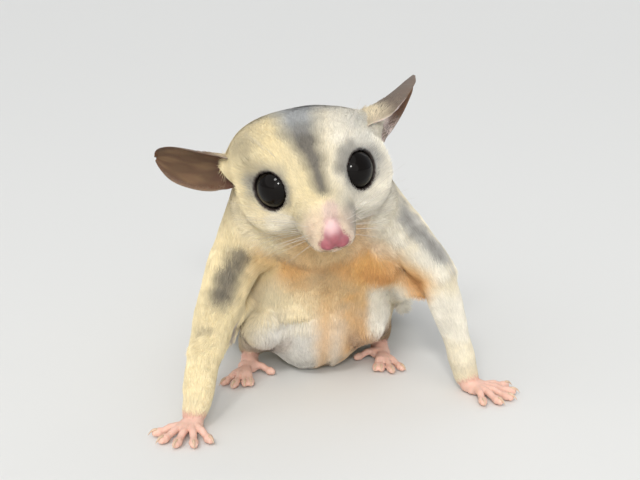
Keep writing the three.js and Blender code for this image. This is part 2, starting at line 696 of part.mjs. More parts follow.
function lock(t, angle, draw) {
  const { core } = tailSizes(t);
  const long = LOCK.long * mixed(...LOCK.lengths, draw());
  const swing = LOCK.swing * (2 * draw() - 1);
  const reach = mixed(...LOCK.reaches, draw());
  const narrow = Math.min(1, Math.max(0.4, core / TAIL[3][3]));
  const found = LOCK.shares.map((share, n) => {
    const place = t + (share * long) / tailLong;
    const { at, aside, above } = tailFrame(place);
    const turn = radians(angle + swing * share);
    const height = mixed(core - LOCK.sunk, Math.max(core, reach * tailSizes(place).coat), risen(share));
    const out = aside.clone().multiplyScalar(Math.cos(turn)).addScaledVector(above, Math.sin(turn));
    at.addScaledVector(out, height);
    at.z = Math.max(at.z, 0.9 * LOCK.high[n]);
    return { at, out, wide: narrow * LOCK.wide[n], high: LOCK.high[n] };
  });
  const rounds = found.map(({ at, out, wide, high }, n) => {
    const way = found[Math.min(n + 1, found.length - 1)].at.clone().sub(found[Math.max(n - 1, 0)].at);
    const across = way.clone().cross(out).normalize();
    return { at: at.toArray(), across, up: across.clone().cross(way).normalize(), wide, high };
  });
  return loft(rounds, 4);
}

// The space ahead of a cut, whose surface follows the lie of the locks. inward moves it off the parts behind.
function aheadOfCut(t, inward) {
  const { at, onward } = tailFrame(t);
  const { core, coat } = tailSizes(t);
  const out = [0, 0.4, 0.9].map((height) => {
    const radius = mixed(core - LOCK.sunk, 1.06 * coat, height) - inward;
    return new THREE.Vector2(radius, LOCK.long * shareAt(height) + inward);
  });
  const far = 3 * LOCK.long;
  const profile = [
    new THREE.Vector2(0, -far), new THREE.Vector2(far, -far), new THREE.Vector2(far, LOCK.long + inward),
    ...out.reverse(), new THREE.Vector2(0, inward),
  ];
  const turned = new THREE.LatheGeometry(profile, 8);
  const turn = new THREE.Quaternion().setFromUnitVectors(new THREE.Vector3(0, 1, 0), onward);
  return solidOf(turned.applyQuaternion(turn).translate(...at.toArray()));
}

const draw = seeded(7);
const coreRounds = TAIL.map(([x, y, z, r]) => [x, y, z, r, r]);
let restOfTail = beyond(loft(stations(coreRounds, 12), 6), TAIL_ROOT.at, TAIL_ROOT.normal);
const rowCount = Math.round((tailLong * (LAST_ROW - FIRST_ROW)) / LOCK.apart);
const rowAt = (row) => mixed(FIRST_ROW, LAST_ROW, row / rowCount);
for (let row = 0; row <= rowCount; row++)
  for (const angle of LOCK.rows[row % 2])
  {
    const t = rowAt(row + LOCK.apartBy * (draw() - 0.5));
    restOfTail = restOfTail.add(lock(t, angle + LOCK.turnedBy * (draw() - 0.5), draw));
  }
TAIL_CUTS.forEach((cut, i) => {
  const row = Math.floor(((cut - FIRST_ROW) / (LAST_ROW - FIRST_ROW)) * rowCount) + 0.5;
  const t = rowAt(row);
  solids[`tail_${i + 1}`] = restOfTail.intersect(aheadOfCut(t, -GAP / 2));
  restOfTail = restOfTail.subtract(aheadOfCut(t, GAP / 2));
});
solids[`tail_${TAIL_CUTS.length + 1}`] = restOfTail;

Object.assign(solids, { torso: trunk, neck, head });

const group = new THREE.Group();
for (const [name, solid] of Object.entries(solids)) {
  const { vertProperties, triVerts } = largest(aboveFloor(solid)).getMesh();
  const geometry = new THREE.BufferGeometry()
    .setAttribute("position", new THREE.BufferAttribute(vertProperties, 3))
    .setIndex(new THREE.BufferAttribute(triVerts, 1));
  const finish = { color: "#e8dcb8", roughness: 0.9, metalness: 0, ...colours[name] };
  const mesh = new THREE.Mesh(geometry, new THREE.MeshStandardMaterial(finish));
  mesh.name = name;
  mesh.position.y = -SEAT;
  group.add(mesh);
}

export default group;
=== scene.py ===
import math

import bpy
import numpy as np
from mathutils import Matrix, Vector


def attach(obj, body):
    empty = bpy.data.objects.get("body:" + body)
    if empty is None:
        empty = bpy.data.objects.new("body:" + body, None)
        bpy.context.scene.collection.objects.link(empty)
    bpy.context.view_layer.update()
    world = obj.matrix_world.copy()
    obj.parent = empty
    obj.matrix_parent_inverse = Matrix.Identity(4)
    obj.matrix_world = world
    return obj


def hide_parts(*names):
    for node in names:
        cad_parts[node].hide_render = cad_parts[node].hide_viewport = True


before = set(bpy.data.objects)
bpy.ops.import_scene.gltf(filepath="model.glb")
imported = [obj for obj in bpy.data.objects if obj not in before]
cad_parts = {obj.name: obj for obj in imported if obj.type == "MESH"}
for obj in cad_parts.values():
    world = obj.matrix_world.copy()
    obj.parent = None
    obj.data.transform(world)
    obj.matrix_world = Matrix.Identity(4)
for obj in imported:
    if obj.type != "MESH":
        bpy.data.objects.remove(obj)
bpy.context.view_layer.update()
scene = bpy.context.scene

# Sizes are in millimetres from the point under the belly, as in the solids' source, until a mesh is made. The
# animal looks along -Y, and side is 1 for its left and -1 for its right.
SIDES = {1: "left", -1: "right"}
SEAT = 13.0  # how far behind that point the frame's origin lies
HEAD_AT = np.array([0.0, -52.0, 54.0])
NOSE_AT = np.array([0.6, -14.9, -7.1])  # in the head's own frame, as are all places in H below
EYE_AT = np.array([8.6, 2.4, -0.6])
EYE_RADIUS = 5.2
LID_AHEAD, LID_RADIUS, LID_THICK = 2.75, 4.32, 0.36
HOLLOW_AT, HOLLOW_RADIUS = 10.2, 8.3  # of the hollow before each eye, measured from the eye's middle
LOWEST = 0.35  # of the skin over the floor
METRES = 0.001  # in a millimetre


def turn(axis, degrees):
    a = math.radians(degrees)
    c, s = math.cos(a), math.sin(a)
    turns = {
        "x": [[1, 0, 0], [0, c, -s], [0, s, c]],
        "y": [[c, 0, s], [0, 1, 0], [-s, 0, c]],
        "z": [[c, -s, 0], [s, c, 0], [0, 0, 1]],
    }
    return np.array(turns[axis])


HEAD = turn("z", 8) @ turn("x", 14) @ turn("y", -13)


def in_head(P):
    return (P - HEAD_AT) @ HEAD


def from_head(P):
    return np.asarray(P, float) @ HEAD.T + HEAD_AT


def by_head(P):
    """Each point in the head's frame, and a share that is 1 on the head and fades to 0 on neck and throat."""
    H = in_head(P)
    skull = smooth(25, 20, far(H, [0, 8, -2]))
    muzzle = smooth(11, 8, path([[0, -4, -5], NOSE_AT])(H))
    return H, np.maximum(skull, muzzle)


def dot(a, b):
    return np.einsum("ij,ij->i", a, b)


def far(P, place):
    return np.linalg.norm(P - np.asarray(place, float), axis=1)


def unit(v):
    v = np.asarray(v, float)
    return v / np.maximum(np.linalg.norm(v, axis=-1, keepdims=True), 1e-9)


def mix(a, b, t):
    return a + (b - a) * t


def smooth(low, high, x):
    t = np.clip((x - low) / (high - low), 0, 1)
    return t * t * (3 - 2 * t)


def bell(x, wide):
    return np.exp(-((x / wide) ** 2))


def waves(P, length, seed):
    """A smooth field of about -1 to 1 that changes over the given length."""
    count = 7
    own = np.random.default_rng(seed)
    ways = unit(own.normal(size=(count, 3))) * (2 * math.pi / length) * own.uniform(0.7, 1.4, (count, 1))
    starts = own.uniform(0, 2 * math.pi, count)
    return np.sin(P @ ways.T + starts).sum(1) / math.sqrt(count) * 0.9


# Distance functions


def ellipsoid(centre, radii):
    c, r = np.array(centre, float), np.array(radii, float)

    def distance(P):
        Q = P - c
        near = np.sqrt(dot(Q / r, Q / r))
        steep = np.sqrt(dot(Q / r**2, Q / r**2))
        return np.where(steep < 1e-6, -r.min(), near * (near - 1) / np.maximum(steep, 1e-6))

    return distance


def chain(points):
    """The distance to round rods through [x, y, z, radius] points."""
    points = [np.array(p, float) for p in points]

    def distance(P):
        best = None
        for a, b in zip(points[:-1], points[1:]):
            d = b[:3] - a[:3]
            Q = P - a[:3]
            t = np.clip((Q @ d) / (d @ d), 0, 1)
            away = Q - t[:, None] * d
            found = np.sqrt(dot(away, away)) - a[3] - (b[3] - a[3]) * t
            best = found if best is None else np.minimum(best, found)
        return best

    return distance


def path(points):
    """The distance to a line through [x, y, z] points."""
    return chain([[*p[:3], 0] for p in points])


def from_nose(*points):
    """A chain whose points are measured from the nose."""
    return chain([[*(NOSE_AT + p[:3]), p[3]] for p in points])


def smooth_min(a, b, k):
    near = np.maximum(k - np.abs(a - b), 0)
    return np.minimum(a, b) - near * near / (4 * k)


def blend(k, *forms):
    def distance(P):
        found = forms[0](P)
        for form in forms[1:]:
            found = smooth_min(found, form(P), k)
        return found

    return distance


def graft(base, limb, k, joint, reach):
    joint = np.array(joint, float)

    def distance(P):
        a, b = base(P), limb(P)
        fade = 1 - np.linalg.norm(P - joint, axis=1) / reach
        radius = k * np.clip(2 * fade, 0.001, 1)
        return np.where(fade > 0.02, smooth_min(a, b, radius), np.minimum(a, b))

    return distance


def eye_axis(side):
    out, up = math.radians(42), math.radians(10)
    return np.array([side * math.sin(out) * math.cos(up), -math.cos(out) * math.cos(up), math.sin(up)])


def eye_at(side):
    return EYE_AT * [side, 1, 1]


def by_eye(H, side):
    """How far ahead of the eye's middle each point lies, and how far from the eye's axis."""
    Q = H - eye_at(side)
    ahead = Q @ eye_axis(side)
    return ahead, np.sqrt(np.maximum(dot(Q, Q) - ahead**2, 0))


def before_eye(H, side):
    return far(H, eye_at(side) + 2 * eye_axis(side))


EARS = {
    1: dict(root=[16, 13, 5], along=[0.65, 0.74, 0.08], facing=[0.58, -0.66, -0.48], bow=1.1),
    -1: dict(root=[-17.5, 12.5, 2.5], along=[-0.86, 0.51, 0.08], facing=[-0.51, -0.85, -0.06], bow=1.2),
}
EAR_LONG, EAR_WIDE, EAR_CUP = 24, 12.5, 4.2

ARMS = {
    1: [[12, -29, 45, 9.5], [21, -36, 38, 7.8], [29.5, -40, 29, 6], [33.5, -43.5, 17, 4.3],
        [37, -46.5, 4.4, 2.9]],
    -1: [[-13, -32, 43, 10.5], [-19.5, -41, 32, 8], [-24, -50, 21, 6.2], [-26.2, -59.5, 12, 4.6],
         [-27.3, -67.5, 4.4, 2.9]],
}
LEGS = {
    1: [[10, 4, 18, 12], [12.6, -15, 15.5, 8.6], [13, -33, 13.5, 6.5], [16, -24, 9.6, 4.3],
        [17, -17.5, 5, 3.4]],
    -1: [[-10, 2, 18, 12], [-12.6, -18, 15.5, 8.6], [-13, -38, 13.5, 6.5], [-16, -32, 9.6, 4.3],
         [-17, -27.5, 5, 3.4]],
}
HANDS = {
    1: dict(at=[37.8, -47.2, 2.6], towards=[0.78, -0.62, 0]),
    -1: dict(at=[-27.6, -68.6, 2.6], towards=[-0.2, -0.98, 0]),
}
FEET = {
    1: dict(at=[17.2, -21, 2.7], towards=[0.05, -1, 0]),
    -1: dict(at=[-17.2, -31, 2.7], towards=[-0.1, -0.99, 0]),
}
# Each digit: degrees from straight ahead, length, how far back it starts, and whether it has a claw
HAND = dict(
    long=3.6, wide=3.2,
    digits=[(-58, 5.6, 0, 1), (-27, 7, 0, 1), (-3, 7.6, 0, 1), (20, 7.4, 0, 1), (47, 6, 0, 1)],
)
FOOT = dict(
    long=7, wide=3,
    digits=[(62, 5.2, 4, 0), (15, 6.8, 0, 1), (6, 7, 0, 1), (-9, 8.4, 0, 1), (-27, 7.6, 0, 1)],
)
RUMP = [[0, 28, 14, 10], [0, 43, 10.4, 7.4]]
TAIL = np.array(
    [
        [0, 30, 12, 6], [1, 53, 6.8, 5], [4.6, 76, 5.9, 4.8], [8, 99, 5.7, 4.7],
        [9, 122, 5.6, 4.6], [6.8, 145, 5.2, 4.2], [2, 168, 4.4, 3.4], [-5, 190, 2.8, 1.6],
    ],
    float,
)
# The edge of each membrane, and its thicker fold beside the body
MEMBRANES = {
    1: [
        [[31, -41, 26, 1.9], [27.5, -38.5, 24, 2.2], [21.6, -34, 22.5, 2.0], [20.8, -24, 16.5, 2.1],
         [23.4, -12, 11.5, 2.3], [24.4, 0, 9.5, 2.4], [22.8, 11, 9, 2.2], [18, 20, 9, 1.8]],
        [[29, -39, 29, 2.6], [21.5, -33, 25, 4], [20, -22, 20.5, 4.5],
         [20.4, -10, 17.5, 4.6], [20.2, 3, 15.5, 4.4], [17.5, 15, 13.5, 3.8]],
    ],
    -1: [
        [[-25.5, -58, 16, 1.8], [-22, -52, 15.5, 2.2], [-21, -44, 14.5, 2.4], [-21, -34, 14, 2.5],
         [-23.4, -22, 12, 2.4], [-24.6, -10, 10.4, 2.4], [-24.2, 2, 9.2, 2.3], [-20, 16, 9, 1.9]],
        [[-25, -53, 20, 2.6], [-20, -45, 20, 3.6], [-19, -34, 20, 4.2],
         [-20.2, -20, 18, 4.6], [-20.6, -4, 15.8, 4.5], [-17.5, 13, 13.6, 3.8]],
    ],
}


# The bare pad: a rounded wedge with a wing on each side below and a ridge that runs up into the bridge
nose_form = blend(
    0.8,
    ellipsoid(NOSE_AT, [1.7, 2.0, 2.1]),
    ellipsoid(NOSE_AT + [1.5, 0.1, -1.7], [1.35, 1.5, 1.3]),
    ellipsoid(NOSE_AT + [-1.5, 0.1, -1.7], [1.35, 1.5, 1.3]),
    from_nose([0, 0.5, 1.2, 1.35], [0.2, 2.6, 3.0, 0.9]),
)


def head_form(P):
    H = in_head(P)
    form = blend(
        6,
        ellipsoid([0, 11, 0.4], [17.4, 17, 12.4]),
        ellipsoid([-9.5, 5, -4.5], [8.8, 11, 8.8]),
        ellipsoid([9.5, 5, -4.5], [8.8, 11, 8.8]),
        chain([[0, 3, -3.5, 9.2], [0.1, -7, -5.6, 6], [0.5, -12, -7, 3.6]]),
        ellipsoid([-9.5, 11, 5.7], [9, 9, 6]),
    )(H)
    lips = blend(
        1.6,
        ellipsoid([3.1, -10.4, -9.3], [2.9, 4, 2.4]),
        ellipsoid([-2.3, -10.4, -9.3], [2.9, 4, 2.4]),
        ellipsoid([0.3, -6.6, -11.2], [4.6, 6.6, 2.6]),
        ellipsoid([-2.9, -9.2, -6.2], [3.2, 3.8, 3.0]),
        ellipsoid([3.5, -9.4, -6.4], [2.8, 3.6, 2.9]),
    )(H)
    form = smooth_min(smooth_min(form, lips, 2.5), nose_form(H), 0.9)
    for ear in EARS.values():
        x, y, z = ear["root"]
        form = smooth_min(form, chain([[0.7 * x, y, z - 1.5, 6], [x, y + 0.8, z - 0.5, 3.6]])(H), 4)
    for side in SIDES:
        ahead = eye_at(side) + HOLLOW_AT * eye_axis(side)
        form = -smooth_min(-form, ellipsoid(ahead, [HOLLOW_RADIUS] * 3)(H), 2.5)
    return form


trunk_form = blend(
    9,
    ellipsoid([0, 13, 20.4], [20, 24, 20.9]),
    ellipsoid([1, -10, 25.6], [18.8, 24, 23]),
    ellipsoid([1, -25.5, 15], [16, 15.5, 15]),
    ellipsoid([12, -29, 21], [6.8, 9, 11.5]),
    ellipsoid([-11, -31, 21], [7.5, 9, 11.5]),
    ellipsoid([0.5, -6, 36], [16.5, 28, 20]),
    ellipsoid([2, -33, 37], [15, 14, 16]),
    chain([[1, -24, 45, 14.5], [0.5, -39, 51, 13.5]]),
    ellipsoid([-1, -31, 10], [9.5, 10.5, 9.4]),
    ellipsoid([17.5, -35, 30], [5, 6, 5.5]),
)
body_form = graft(trunk_form, head_form, 7, [0, -34, 46], 26)
for side in SIDES:
    body_form = graft(body_form, chain(ARMS[side]), 8, ARMS[side][0][:3], 22)
    body_form = graft(body_form, chain(LEGS[side]), 6, LEGS[side][1][:3], 24)
body_form = graft(body_form, chain(RUMP), 8, RUMP[0][:3], 24)

tail_core = chain(TAIL[1:])


def by_joints(value, P, limb, sizes, reach, share=1.0):
    """The value, but at each joint of the limb that is named in sizes its own."""
    for n, size in sizes.items():
        value = mix(value, size, smooth(*reach, far(P, limb[n][:3])) * share)
    return value


def coat_depth(P):
    """How far the skin lies under the outline of the coat."""
    H, on_head = by_head(P)
    depth = mix(np.full(len(P), 1.7), 0.75, on_head)
    depth = mix(depth, 0.3, smooth(-4, -11, H[:, 1]) * on_head)
    depth = mix(depth, 0.0, smooth(-12.4, -14, H[:, 1]) * on_head)
    for side in SIDES:
        depth = mix(depth, 0.25, smooth(8, 5, before_eye(H, side)))
        depth = by_joints(depth, P, ARMS[side], {2: 1.3, 3: 0.9, 4: 0.15}, (11, 5))
        depth = by_joints(depth, P, LEGS[side], {3: 1.1, 4: 0.3}, (9, 4))
    return depth * smooth(-1, 1.2, P[:, 2])


def paw_frame(place):
    """Where a paw is, the way that it points, and the way across it."""
    ahead = unit(place["towards"])
    return np.array(place["at"], float), ahead, np.array([-ahead[1], ahead[0], 0])


def digits_of(place, sizes, side):
    """For each digit a function of places along it, its length, and whether it has a claw."""
    at, ahead, across = paw_frame(place)
    found = []
    for turned, long, back, claw in sizes["digits"]:
        way = math.radians(-side * turned)
        forth, aside = math.cos(way), math.sin(way)
        start = at + ahead * (0.95 * sizes["long"] - back) + across * 0.72 * sizes["wide"] * aside
        step = (ahead * forth + across * aside) * long

        def on(t, z, start=start, step=step):
            p = start + step * t
            return np.array([p[0], p[1], z])

        found.append((on, long, claw))
    return found


def paw_form(place, sizes, side):
    at, ahead, across = paw_frame(place)
    long, wide = sizes["long"], sizes["wide"]
    palm_at = at + ahead * 0.5 * long
    palm = chain([
        [*(at + ahead * 0.05 * long)[:2], at[2] - 0.4, 0.78 * wide],
        [*(palm_at + across * 0.3 * wide)[:2], 1.6, 0.55 * wide],
        [*(palm_at - across * 0.3 * wide)[:2], 1.6, 0.55 * wide],
    ])
    parts = [
        chain([
            [*on(-0.25, at[2] - 0.9), 1.05], [*on(0.12, 1.95), 0.98], [*on(0.42, 2.0), 0.86],
            [*on(0.7, 1.35), 0.78], [*on(0.88, 1.15), 1.08], [*on(1.02, 1.1), 0.85],
        ])
        for on, _, _ in digits_of(place, sizes, side)
    ]

    def distance(P):
        fingers = np.minimum.reduce([part(P) for part in parts])
        return smooth_min(palm(P), fingers, 0.9)

    return distance


PAWS = ((HANDS, HAND), (FEET, FOOT))
paw_forms = [paw_form(places[s], sizes, s) for places, sizes in PAWS for s in SIDES]
membrane_form = {s: blend(4, *[chain(c) for c in MEMBRANES[s]]) for s in SIDES}


def lids_and_openings(form, P):
    """Adds the lids' rims, and hollows out nostrils, mouth and sockets."""
    H = in_head(P)
    for side in SIDES:
        ahead, away = by_eye(H, side)
        rim = np.hypot(away - LID_RADIUS - 0.12, ahead - LID_AHEAD) - LID_THICK
        form = smooth_min(form, rim, 0.9)
        form = np.maximum(form, EYE_RADIUS + 0.12 - far(H, eye_at(side)))
        slit = from_nose(
            [1.2 * side, -1.7, -1.9, 0.45], [2.2 * side, -1.4, -1.3, 0.4], [3.1 * side, -0.4, -1.0, 0.25]
        )
        form = -smooth_min(-form, slit(H), 0.35)
        mouth = chain([
            [0.5, -14.2, -10.1, 0.3], [0.4 + 2.6 * side, -12.4, -10.7, 0.3],
            [0.3 + 5 * side, -8.6, -10.2, 0.3], [6.8 * side, -4.4, -8.8, 0.26],
            [7.4 * side, -2.6, -7.8, 0.15],
        ])
        form = -smooth_min(-form, mouth(H), 0.5)
    groove = from_nose([0, -2.2, -0.5, 0.12], [0, -1.9, -1.9, 0.3], [0, -0.6, -3.2, 0.35])
    return -smooth_min(-form, groove(H), 0.6)


def folds_of_skin(P):
    """Creases of loose skin on throat, chest and belly, as the skin bulges and sinks."""
    x, y, z = P.T
    front = smooth(-24, -34, y) * smooth(42, 34, z)
    soft = 0.25 * waves(P * [1, 1, 0.45], 8, 11) + 0.12 * waves(P * [1, 1, 0.4], 4, 12)
    middle = -0.9 * bell(x - 2.4, 1.6) * smooth(31, 25, z)
    level = z - 0.16 * (x + 6)
    bulge = 0.8 * bell(level - 17.8, 1.3) * bell(x + 6, 3.6)
    crease = -0.7 * bell(level - 15.8, 1.0) * bell(x + 5, 4.5)
    return front * (soft + middle + bulge + crease)


def skin_form(P):
    form = body_form(P) - 0.75 * folds_of_skin(P)
    form = form + coat_depth(P)
    for s in SIDES:
        ripples = 0.14 * np.sin(0.55 * P[:, 1] + 0.3 * P[:, 2] + 1.5 * np.sin(0.13 * P[:, 1]))
        form = smooth_min(form, membrane_form[s](P) + 1.0 + ripples, 2.5)
    form = smooth_min(form, tail_core(P), 2.5)
    near = P[:, 2] < 9
    if near.any():
        low = P[near]
        for paw in paw_forms:
            form[near] = smooth_min(form[near], paw(low), 0.8)
    face = far(P, HEAD_AT) < 26
    if face.any():
        form[face] = lids_and_openings(form[face], P[face])
    return np.maximum(form, LOWEST - P[:, 2])


# The skin's mesh has one point in each cell of a fine grid that the surface crosses. Each axis of the grid is
# given as (place, step) pairs, with smaller steps on head, hands and feet.
GRID = (
    [(-46, 0.55), (-32, 0.4), (-22, 0.5), (-9, 0.36), (10, 0.5), (29, 0.4), (48, 0.4), (49, 1)],
    [(-80, 0.36), (-60, 0.42), (-20, 0.7), (52, 1.2), (194, 1)],
    [(0, 0.34), (5, 0.6), (34, 0.42), (70, 1)],
)
JUMP = 4  # fine steps in one coarse step
CLOSE = 3.19  # to the surface, for a coarse point whose cells are looked into
FAR_OFF = 9.0  # the distance noted away from the surface
BATCH = 200000  # points measured at one time
STEP_MOST = 0.3  # of a point towards the surface
SLOPE_LEAST = 0.3  # squared, where such a step is worked out


def axis_steps(stops, coarser):
    """Places along an axis through (place, step) pairs."""
    found = [stops[0][0]]
    for (start, step), (end, _) in zip(stops[:-1], stops[1:]):
        while found[-1] < end:
            found.append(found[-1] + step * coarser)
    return np.array(found)


def slopes(form, P, probe=0.03):
    out = np.empty((len(P), 3))
    for n in range(3):
        step = np.zeros(3)
        step[n] = probe
        out[:, n] = (form(P + step) - form(P - step)) / (2 * probe)
    return out


def near_surface(grid, coarser):
    """Which points of the grid may lie near the surface, and which lie inside it, from a coarse look."""
    ends = [np.unique(np.append(np.arange(0, len(g), JUMP), len(g) - 1)) for g in grid]
    corners = np.stack(np.meshgrid(*[g[e] for g, e in zip(grid, ends)], indexing="ij"), -1)
    coarse = skin_form(corners.reshape(-1, 3)).reshape(corners.shape[:3])
    close = np.abs(coarse) < CLOSE * coarser
    grown = close.copy()
    for axis in range(3):
        for shift in (1, -1):
            grown |= np.roll(close, shift, axis)
        close = grown.copy()
    index = np.ix_(*[np.searchsorted(e, np.arange(len(g)), side="right") - 1 for e, g in zip(ends, grid)])
    return grown[index], coarse[index] < 0


def skin_mesh():
    coarser = 1.0
    grid = [axis_steps(stops, coarser) for stops in GRID]
    near, inner = near_surface(grid, coarser)
    values = np.where(inner, -FAR_OFF, FAR_OFF)
    I = np.argwhere(near)
    P = np.stack([g[i] for g, i in zip(grid, I.T)], 1)
    batches = np.array_split(P, max(1, len(P) // BATCH))
    values[tuple(I.T)] = np.concatenate([skin_form(batch) for batch in batches])
    for n in range(3):
        for end in (0, -1):
            np.moveaxis(values, n, 0)[end] = FAR_OFF
    cells, places, faces = [], [], []
    stride = np.array([values[0].size, values.shape[2], 1])
    for n in range(3):
        # Edges of the grid along one axis that cross the surface, and the four cells round each
        J = np.argwhere(np.diff(values < 0, axis=n))
        onward = np.eye(3, dtype=int)[n]
        start, end = values[tuple(J.T)], values[tuple((J + onward).T)]
        p = np.stack([g[j] for g, j in zip(grid, J.T)], 1)
        p[:, n] = mix(p[:, n], grid[n][J[:, n] + 1], start / (start - end))
        quad = []
        for du, dv in ((0, 0), (-1, 0), (-1, -1), (0, -1)):
            K = J.copy()
            K[:, [m for m in range(3) if m != n]] += [du, dv]
            quad.append(K @ stride)
        cells += quad
        places += [p] * 4
        quad = np.stack(quad, 1)
        flip = (start < 0) == (n != 1)
        quad[flip] = quad[flip][:, ::-1]
        faces.append(quad)
    known, where = np.unique(np.concatenate(cells), return_inverse=True)
    places = np.concatenate(places)
    V = np.stack([np.bincount(where, places[:, m]) for m in range(3)], 1) / np.bincount(where)[:, None]
    F = np.searchsorted(known, np.concatenate(faces))
    for _ in range(2):
        slope = slopes(skin_form, V)
        steep = np.maximum((slope**2).sum(1), SLOPE_LEAST)
        V = V - np.clip(skin_form(V) / steep, -STEP_MOST, STEP_MOST)[:, None] * slope
    V[:, 2] = np.maximum(V[:, 2], LOWEST)
    return V, F


def crosses(V, F):
    """A vector along the normal of each quad, longer on larger ones."""
    A, B, C, D = V[F.T]
    return np.cross(C - A, D - B)


def vertex_normals(V, F):
    N = np.zeros_like(V)
    across = crosses(V, F)
    for corners in F.T:
        for m in range(3):
            N[:, m] += np.bincount(corners, across[:, m], len(V))
    return unit(N)


# Clumps of tufts, the same on each run


def hashed(cells, seed):
    k = (cells[:, 0] * 73856093) ^ (cells[:, 1] * 19349663) ^ (cells[:, 2] * 83492791) ^ (seed * 2654435761)
    k = (k ^ (k >> 13)) * 1274126177 & 0x7FFFFFFF
    return ((k ^ (k >> 16)) & 0xFFFF) / 65535.0


def clump_centre(P, size):
    """The nearest of many scattered points, one for each cell of the given size."""
    base = np.floor(P / size).astype(np.int64)
    best = np.full(len(P), 1e9)
    found = P.copy()
    for dx in (-1, 0, 1):
        for dy in (-1, 0, 1):
            for dz in (-1, 0, 1):
                cell = base + [dx, dy, dz]
                spot = (cell + np.stack([hashed(cell, s) for s in (1, 2, 3)], 1)) * size
                away = ((P - spot) ** 2).sum(1)
                nearer = away < best
                best = np.where(nearer, away, best)
                found[nearer] = spot[nearer]
    return found


# Markings


def linear(*rgb):
    c = np.array(rgb) / 255.0
    return np.where(c <= 0.04045, c / 12.92, ((c + 0.055) / 1.055) ** 2.4)


CREAM = linear(240, 227, 194)
YELLOW = linear(246, 229, 181)
WHITE = linear(248, 243, 230)
GREY = linear(172, 172, 172)
BLUE_GREY = linear(186, 190, 194)
DARK_GREY = linear(112, 108, 104)
BROWN_GREY = linear(122, 112, 96)
TAN = linear(236, 187, 112)
DEEP_TAN = linear(206, 144, 84)
BELLY = linear(232, 230, 226)
PINK = linear(178, 112, 119)
DEEP_PINK = linear(160, 76, 87)
PALE_PINK = linear(232, 190, 172)
EAR_BROWN = linear(92, 68, 46)
EAR_DARK = linear(78, 46, 36)
EAR_BACK = linear(104, 91, 80)
LID = linear(40, 28, 24)
LAVENDER = linear(184, 172, 174)
LEG_BROWN_AND_SHADE = linear(190, 152, 122)
MUZZLE = linear(238, 208, 192)
BRIDGE = linear(226, 200, 194)
NOSE_TOP = linear(226, 190, 188)
TAIL_FUR = linear(226, 214, 186)
EAR_PATCHES = linear(142, 112, 78)
EAR_RIM = linear(190, 168, 142)
EAR_FOLD = linear(128, 100, 80)
EAR_CRINKLES = linear(240, 222, 216)
EAR_ROOT = linear(206, 192, 168)
EAR_FUR = {1: linear(130, 116, 102), -1: linear(150, 122, 98)}
EAR_ROOT_FUR = linear(224, 210, 180)


def spot(P, centre, radii):
    """A soft round mark: 1 at its centre, 0 outside."""
    Q = (P - np.array(centre, float)) / np.array(radii, float)
    return np.clip(1.6 * np.exp(-(Q**2).sum(1)), 0, 1)


class Paint:
    """A colour for each point, under marks that are laid over it one by one."""

    def __init__(self, count, colour):
        self.rgb = np.tile(colour, (count, 1))

    def __call__(self, colour, share):
        self.rgb = mix(self.rgb, colour, np.clip(share, 0, 1)[:, None])


